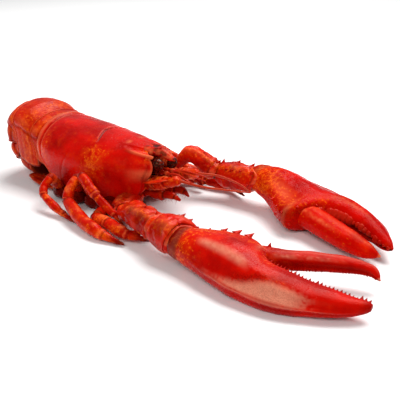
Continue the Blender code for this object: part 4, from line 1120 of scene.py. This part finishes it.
# The paths below are the left side's; the right side mirrors them.
BASE_PATH = ((-0.005, 0.0088, 0.0200), (0.011, 0.0100, 0.0236), (0.028, 0.0095, 0.0285))
BASE_RADII = (
    (0, 0.0046), (0.14, 0.0054), (0.34, 0.0055), (0.40, 0.0050), (0.44, 0.0045), (0.50, 0.0047),
    (0.62, 0.0046), (0.67, 0.0042), (0.71, 0.0036), (0.78, 0.0038), (0.93, 0.0032), (1, 0.0020),
)
SCALE_PATH = ((0.002, 0.0150, 0.0235), (0.011, 0.0158, 0.0262), (0.021, 0.0140, 0.0290))
SCALE_RADII = ((0, 0.0020), (0.4, 0.0036), (0.75, 0.0026), (1, 0.0004))
STEM_PATH = ((-0.001, 0.0028, 0.0272), (0.016, 0.0034, 0.0290), (0.038, 0.0048, 0.0270))
STEM_RADII = ((0, 0.0019), (0.10, 0.0021), (0.14, 0.0015), (0.24, 0.0018), (0.28, 0.0012),
              (0.38, 0.0014), (0.42, 0.0007), (0.7, 0.00055), (1, 0.0003))
TWIN_PATH = ((0.013, 0.0036, 0.0288), (0.022, 0.0046, 0.0302), (0.036, 0.0078, 0.0284))
TWIN_RADII = ((0, 0.0008), (0.5, 0.0006), (1, 0.0003))
MOUTH_PATH = ((-0.006, 0.0058, 0.0135), (0.006, 0.0064, 0.0130), (0.017, 0.0056, 0.0148),
              (0.0235, 0.0046, 0.0128))
MOUTH_RADII = ((0, 0.0030), (0.3, 0.0036), (0.45, 0.0037), (0.5, 0.0030), (0.7, 0.0027),
               (0.76, 0.0024), (0.8, 0.0019), (1, 0.0009))
BASE_SPINES = (60, 0.06, 0.30, (0.5, 0.5, 0.5))
SCALE_HAIR, MOUTH_HAIR = 0.9, 1.3
HEAD = shell_finish("head_shell_finish", red=(0.50, 0.0055, 0.0008, 1),
                    orange=(0.78, 0.070, 0.0028, 1), spots=0.9, roughness=0.20, shine=0.28)


def eye_finish():
    """A mottled red stalk that ends in a glassy, almost black dome."""
    made, bench, place = plain_finish("eye_glass")
    dome = bench.node("ShaderNodeAttribute", out="Fac", attribute_name="dark")
    speckle = bench.noise(place, Scale=700.0, Detail=3.0)
    stalk = bench.mixed(bench.slope(speckle, 0.4, 0.62), (0.36, 0.012, 0.004, 1),
                        (0.66, 0.09, 0.012, 1))
    cornea = bench.mixed(bench.slope(speckle, 0.4, 0.7), (0.014, 0.0008, 0.0005, 1),
                         (0.16, 0.006, 0.0012, 1))
    bench.surface(Base_Color=bench.mixed(dome, stalk, cornea), Roughness=0.34 - dome * 0.12,
                  Specular_IOR_Level=0.30, Specular_Tint=(1.0, 0.45, 0.25, 1))
    return made


EYE = eye_finish()
for side, sign in (("left", 1), ("right", -1)):
    def mirrored(path):
        return [(x, sign * y, z) for x, y, z in path]

    eye = sleeve(EYE_PATHS[side], EYE_RADII, 70, 56)
    eye.mark(dark=rise(eye.t, 0.55, 0.60))
    eye.swell(rough(eye, (0.00012, 0.002, 91)) * rise(eye.t, 0.55, 0.4)
              - 0.0003 * hump(eye.t, 0.56, 0.03))
    eye.cap(0.001, 0.0001)
    cover(f"eye_{side}", EYE, "eye", eye, ending="stalk")

    base = sleeve(mirrored(BASE_PATH), BASE_RADII, 110, 54, 0.92)
    slanted = base.t + 0.05 * np.cos(np.radians(base.angles - 60))
    rims = hump(slanted, 0.38, 0.03) + hump(slanted, 0.655, 0.03)
    folds = hump(slanted, 0.425, 0.02) + hump(slanted, 0.70, 0.02)
    base.swell(0.00025 * rims + rough(base, (0.0007, 0.0045, 92), (0.00035, 0.0019, 93)))
    base.mark(mottle=0.6,
              pale=0.25 * rims + 0.40 * rise(lumps(base.points, 0.0026, 95), 0.35, 0.9),
              dark=0.75 * folds + 0.45 * rise(lumps(base.points, 0.0045, 92), 0, -0.8))
    spine_row(base, *BASE_SPINES)
    base.cap(0.001, 0.0007)
    scale = sleeve(mirrored(SCALE_PATH), SCALE_RADII, 50, 40, 0.32)
    scale.mark(mottle=0.4, pale=0.25 * rise(scale.t, 0.75, 1) + 0.08 * hump(scale.angles, 90, 50))
    inner_edge = 0 if side == "left" else 180
    hair_lines.append((*scale.line(inner_edge, 0.2, 0.9, 20), SCALE_HAIR))
    scale.cap(0.0006, 0.0004)
    cover(f"antenna_base_{side}", HEAD, "limb", base, scale)

    stem = sleeve(mirrored(STEM_PATH), STEM_RADII, 120, 20)
    stem.swell(0.00005 * np.cos(stem.t * 260) * rise(stem.t, 0.42, 0.5))
    stem.mark(mottle=0.4, pale=0.3 * hump(stem.t, 0.36, 0.06) + 0.08 * rise(stem.t, 0.4, 0.5))
    stem.cap(0.0006, 0.0003)
    twin = sleeve(mirrored(TWIN_PATH), TWIN_RADII, 90, 14)
    twin.swell(0.00005 * np.cos(twin.t * 190))
    twin.mark(pale=0.08)
    twin.cap(0.0003, 0.0003)
    cover(f"antennule_{side}", HEAD, "limb", stem, twin, ending="stem")

    mouth = sleeve(mirrored(MOUTH_PATH), MOUTH_RADII, 80, 40, 0.9)
    mouth.swell(rough(mouth, (0.00035, 0.0045, 94)) + 0.0003 * hump(mouth.t, 0.44, 0.05))
    mouth.mark(mottle=0.3,
               dark=0.25 + 0.6 * hump(mouth.t, 0.5, 0.04) + 0.6 * hump(mouth.t, 0.79, 0.04))
    hair_lines += [(*mouth.line(angle, 0.15, 0.9, 30), MOUTH_HAIR) for angle in (250, 290)]
    mouth.cap(0.001, 0.0006)
    cover(f"mouth_leg_{side}", HEAD, "limb", mouth)


# ------------------------------------------------------------------- antennae
# A whip of hundreds of tiny rings on each base, both broken short here and lying across
# the gap between the arms. They are darker than the shell.

WHIP_ROUTES = {
    "right": ((0.0284, -0.0095, 0.0287), (0.0420, -0.0048, 0.0268), (0.0520, 0.0030, 0.0250),
              (0.0600, 0.0090, 0.0238), (0.0670, 0.0140, 0.0230)),
    "left": ((0.0284, 0.0095, 0.0287), (0.0400, 0.0150, 0.0282), (0.0490, 0.0190, 0.0256),
             (0.0560, 0.0212, 0.0228), (0.0620, 0.0222, 0.0195)),
}
WHIP_RADII = ((0, 0.0012), (0.05, 0.0009), (0.5, 0.0007), (1, 0.0004))
RING_PACE = 620
WHIP = shell_finish("whip_finish", red=(0.40, 0.010, 0.002, 1),
                    orange=(0.82, 0.14, 0.012, 1), spots=0.7, roughness=0.3)
for side, route in WHIP_ROUTES.items():
    whip = sleeve(route, WHIP_RADII, 260, 16)
    ringing = np.cos(whip.t * RING_PACE)
    whip.swell(0.00007 * ringing)
    whip.mark(pale=0.14 + 0.12 * ringing)
    whip.cap(0.0006, 0.0004)
    cover(f"antenna_{side}", WHIP, "limb", whip, ending="whip")


# ---------------------------------------------------------------- joint skins
# Soft skin, dark red and wrinkled, joins the shell tubes at each hinge of the walking
# legs. It is a small ball seated in the ends of both tubes.

JOINT_SKIN = shell_finish("joint_skin_finish", red=(0.22, 0.004, 0.001, 1),
                          orange=(0.45, 0.030, 0.003, 1), spots=0.5, roughness=0.38)


def ball(centre, radius):
    turn = np.linspace(0.08, math.pi - 0.08, 22)
    wide = radius * np.sin(turn)
    skin = ringed(turn, centre - AHEAD * (radius * np.cos(turn))[:, None], ACROSS, UP, wide,
                  wide, wide, 28)
    skin.swell(rough(skin, (0.04 * radius, 0.3 * radius, 7)))
    skin.lie_flat()
    return skin


folds = [ball(centre, radius) for centre, radius in joint_balls]
fit(build("joint_skins", JOINT_SKIN, *folds), "limb")


# ------------------------------------------------------ spines, teeth, bristles
# Outgrowths of the shell itself, set in rows: stout spines on the arms, sharp teeth in
# the cutter, blunt ones in the crusher, and fine hair on legs, fan and mouth.

SPIKE_SIZES = ("Even", "Spacing", "Length", "Width", "Taper", "Bend", "Spread", "Sides", "Seed")
SPIKE_SOCKETS = {"Even": "Bool", "Sides": "Int", "Seed": "Int", "Finish": "Material",
                 "Geometry": "Geometry"}


def spike_rows():
    """Spikes along every line of the mesh, set by its size and aim attributes."""
    tree = bpy.data.node_groups.new("spikes_on_lines", "GeometryNodeTree")
    tree.is_modifier = True
    for name in ("Geometry", *SPIKE_SIZES, "Finish"):
        tree.interface.new_socket(name, in_out="INPUT",
                                  socket_type="NodeSocket" + SPIKE_SOCKETS.get(name, "Float"))
    tree.interface.new_socket("Geometry", in_out="OUTPUT", socket_type="NodeSocketGeometry")
    bench = Bench(tree)
    given = tree.nodes.new("NodeGroupInput")

    def asked(name):
        return Wire(bench, given.outputs[name])

    spike = bench.node("GeometryNodeMeshCylinder", {
        "Vertices": asked("Sides"), "Side Segments": 5, "Radius": 1.0, "Depth": 1.0},
        fill_type="TRIANGLE_FAN")
    place = bench.node("ShaderNodeSeparateXYZ", {0: bench.node("GeometryNodeInputPosition")})
    x, y, z = (Wire(bench, place.socket.node.outputs[k]) for k in range(3))
    up = z + 0.5
    thin = (1 - up ** asked("Taper")) * asked("Width") * 0.5
    moved = bench.node("ShaderNodeCombineXYZ", {
        0: x * thin + up * up * asked("Length") * asked("Bend"), 1: y * thin,
        2: (up * 1.2 - 0.2) * asked("Length")})
    spike = bench.node("GeometryNodeSetPosition", {"Geometry": spike, "Position": moved})
    spike = bench.node("GeometryNodeMergeByDistance", {"Geometry": spike, "Distance": 2e-6})

    rows = bench.node("GeometryNodeMeshToCurve", {"Mesh": asked("Geometry")})
    rows = bench.node("GeometryNodeResampleCurve", {"Curve": rows, "Length": asked("Spacing")},
                      mode="LENGTH")
    rows = bench.node("GeometryNodeSwitch", {
        "Switch": asked("Even"), "False": asked("Geometry"), "True": rows},
        input_type="GEOMETRY")
    aim = bench.node("GeometryNodeInputNamedAttribute", {"Name": "aim"}, data_type="FLOAT_VECTOR")
    size = bench.node("GeometryNodeInputNamedAttribute", {"Name": "size"}, data_type="FLOAT")
    turned = bench.node("FunctionNodeAlignRotationToVector", {"Vector": aim}, axis="Z")
    chance = bench.node("FunctionNodeRandomValue", {
        2: 1 - asked("Spread"), 3: asked("Spread") + 1.0, "Seed": asked("Seed")}, out=1,
        data_type="FLOAT")
    placed = bench.node("GeometryNodeInstanceOnPoints", {
        "Points": rows, "Instance": spike, "Rotation": turned, "Scale": size * chance})
    placed = bench.node("GeometryNodeRealizeInstances", {"Geometry": placed})
    placed = bench.node("GeometryNodeSetShadeSmooth", {"Geometry": placed})
    placed = bench.node("GeometryNodeSetMaterial", {
        "Geometry": placed, "Material": asked("Finish")})
    tree.links.new(placed.socket, tree.nodes.new("NodeGroupOutput").inputs["Geometry"])
    return tree


SPIKES = spike_rows()


def spikes(name, lines, finish, *sizes):
    """The spikes that grow from lines of (points, ways out, size), as one object."""
    corners, edges, aims, scale = [], [], [], []
    for points, out, size in lines:
        edges += [(len(corners) + k, len(corners) + k + 1) for k in range(len(points) - 1)]
        corners += (points + SOCKETS).tolist()
        aims += unit(np.array(out)).tolist()
        scale += list(np.broadcast_to(size, len(points)))
    mesh = bpy.data.meshes.new(name + "_lines")
    mesh.from_pydata(corners, edges, [])
    mesh.attributes.new("aim", "FLOAT_VECTOR", "POINT").data.foreach_set("vector", np.ravel(aims))
    mesh.attributes.new("size", "FLOAT", "POINT").data.foreach_set("value", scale)
    piece = bpy.data.objects.new(name, mesh)
    bpy.context.scene.collection.objects.link(piece)
    modifier = piece.modifiers.new("spikes", "NODES")
    modifier.node_group = SPIKES
    asked = dict(zip(SPIKE_SIZES, sizes), Finish=finish)
    for item in SPIKES.interface.items_tree:
        if item.name in asked:
            modifier[item.identifier] = asked[item.name]
    graph = bpy.context.evaluated_depsgraph_get()
    grown = bpy.data.meshes.new_from_object(piece.evaluated_get(graph))
    piece.modifiers.clear()
    for corner in grown.vertices:
        corner.co.z = max(corner.co.z, TABLE_GAP)
    piece.data = grown
    grown.name = name
    return piece


SPINE = shell_finish("spine_finish", red=(0.52, 0.0060, 0.0008, 1), spots=0.6, roughness=0.3)
CUTTER_TOOTH = shell_finish("cutter_tooth_finish", red=(0.30, 0.0030, 0.0008, 1), spots=0.3,
                            shine=0.2)
CRUSHER_TOOTH = shell_finish("crusher_tooth_finish", red=(0.42, 0.010, 0.003, 1),
                             orange=(0.80, 0.26, 0.13, 1), spots=0.8, roughness=0.24,
                             shine=0.15)
HAIR = shell_finish("hair_finish", red=(0.30, 0.030, 0.006, 1), orange=(0.5, 0.09, 0.02, 1),
                    roughness=0.5)
# The crusher's teeth are uneven, and smaller towards the tips.
uneven = (np.random.default_rng(4).uniform(0.55, 1.15, TOOTH_STEPS)
          * np.linspace(1.15, 0.6, TOOTH_STEPS))
(cutter_palm, cutter_finger), (crusher_palm, crusher_finger) = (
    [[(*line, size)] for line in tooth_lines[side]]
    for side, size in (("right", 1.0), ("left", uneven)))
# Whether the rows are filled evenly, their spacing, then each spike's length, width,
# taper, bend and spread of sizes, its number of sides and the seed of the draw.
for name, slot, lines, finish, *sizes in (
    ("arm_spines", "limb", spine_lines, SPINE,
     False, 1.0, 0.0021, 0.0027, 0.75, 0.10, 0.12, 10, 3),
    ("cutter_palm_teeth", "shell", cutter_palm, CUTTER_TOOTH,
     True, 0.0021, 0.0014, 0.0018, 0.95, 0.15, 0.55, 9, 5),
    ("cutter_finger_teeth", "shell", cutter_finger, CUTTER_TOOTH,
     True, 0.0016, 0.0007, 0.0015, 0.9, 0.1, 0.4, 9, 8),
    ("crusher_palm_teeth", "shell", crusher_palm, CRUSHER_TOOTH,
     True, 0.0034, 0.0027, 0.0056, 1.9, 0.0, 0.45, 16, 11),
    ("crusher_finger_teeth", "shell", crusher_finger, CRUSHER_TOOTH,
     True, 0.0032, 0.0022, 0.0050, 1.9, 0.0, 0.45, 16, 12),
    ("bristles", "limb", hair_lines + fringe_lines, HAIR,
     True, 0.0011, 0.0017, 0.00022, 1.0, 0.35, 0.4, 4, 21),
):
    fit(spikes(name, lines, finish, *sizes), slot)


# ---------------------------------------------------------------- table, light
# A plain pale table with its top at height 0, under a wide soft lamp behind and above
# and a weaker one in front. A white surround lightens the shade.

TABLE_HALF = 6
SURROUND_STRENGTH = 0.28
TABLE, table_bench, table_place = plain_finish("pale_table")
table_bench.surface(
    Base_Color=table_bench.mixed(table_bench.noise(table_place, Scale=3.0),
                                 (0.90, 0.895, 0.89, 1), (0.93, 0.93, 0.93, 1)),
    Roughness=0.75, Specular_IOR_Level=0.15)
table_mesh = bpy.data.meshes.new("table")
table_mesh.from_pydata([(x * TABLE_HALF, y * TABLE_HALF, 0)
                        for x, y in ((-1, -1), (1, -1), (1, 1), (-1, 1))], [], [(0, 1, 2, 3)])
table_mesh.materials.append(TABLE)
table = bpy.data.objects.new("table", table_mesh)
bpy.context.scene.collection.objects.link(table)


def aimed(name, data, place, way):
    """A lamp or camera at a place, looking that way."""
    made = bpy.data.objects.new(name, data)
    made.location = place
    made.rotation_euler = Vector(way).to_track_quat("-Z", "Y").to_euler()
    bpy.context.scene.collection.objects.link(made)
    return made


def softbox(name, place, width, height, power):
    light = bpy.data.lights.new(name, "AREA")
    light.shape = "RECTANGLE"
    light.size, light.size_y = width, height
    light.energy = power
    aimed(name, light, place, -Vector(place))


softbox("back_softbox", (0.02, 0.60, 1.20), 1.2, 0.9, 27)
softbox("front_softbox", (0.35, -1.2, 1.1), 1.0, 0.8, 11)

world = bpy.data.worlds.new("studio")
world.use_nodes = True
world.node_tree.nodes["Background"].inputs["Color"].default_value = (1, 1, 1, 1)
world.node_tree.nodes["Background"].inputs["Strength"].default_value = SURROUND_STRENGTH
bpy.context.scene.world = world
bpy.context.scene.view_settings.view_transform = "Standard"

CAMERA_TURN, CAMERA_TILT = math.radians(38.5), math.radians(22)
CAMERA_PLACE = Vector((0.3223, -0.3587, 0.2000))
lens = bpy.data.cameras.new("camera")
lens.lens = 67.5
lens.sensor_width = 36
lens.clip_start = 0.01
bpy.context.scene.camera = aimed("camera", lens, CAMERA_PLACE + Vector(SOCKETS), (
    -math.sin(CAMERA_TURN) * math.cos(CAMERA_TILT),
    math.cos(CAMERA_TURN) * math.cos(CAMERA_TILT), -math.sin(CAMERA_TILT)))
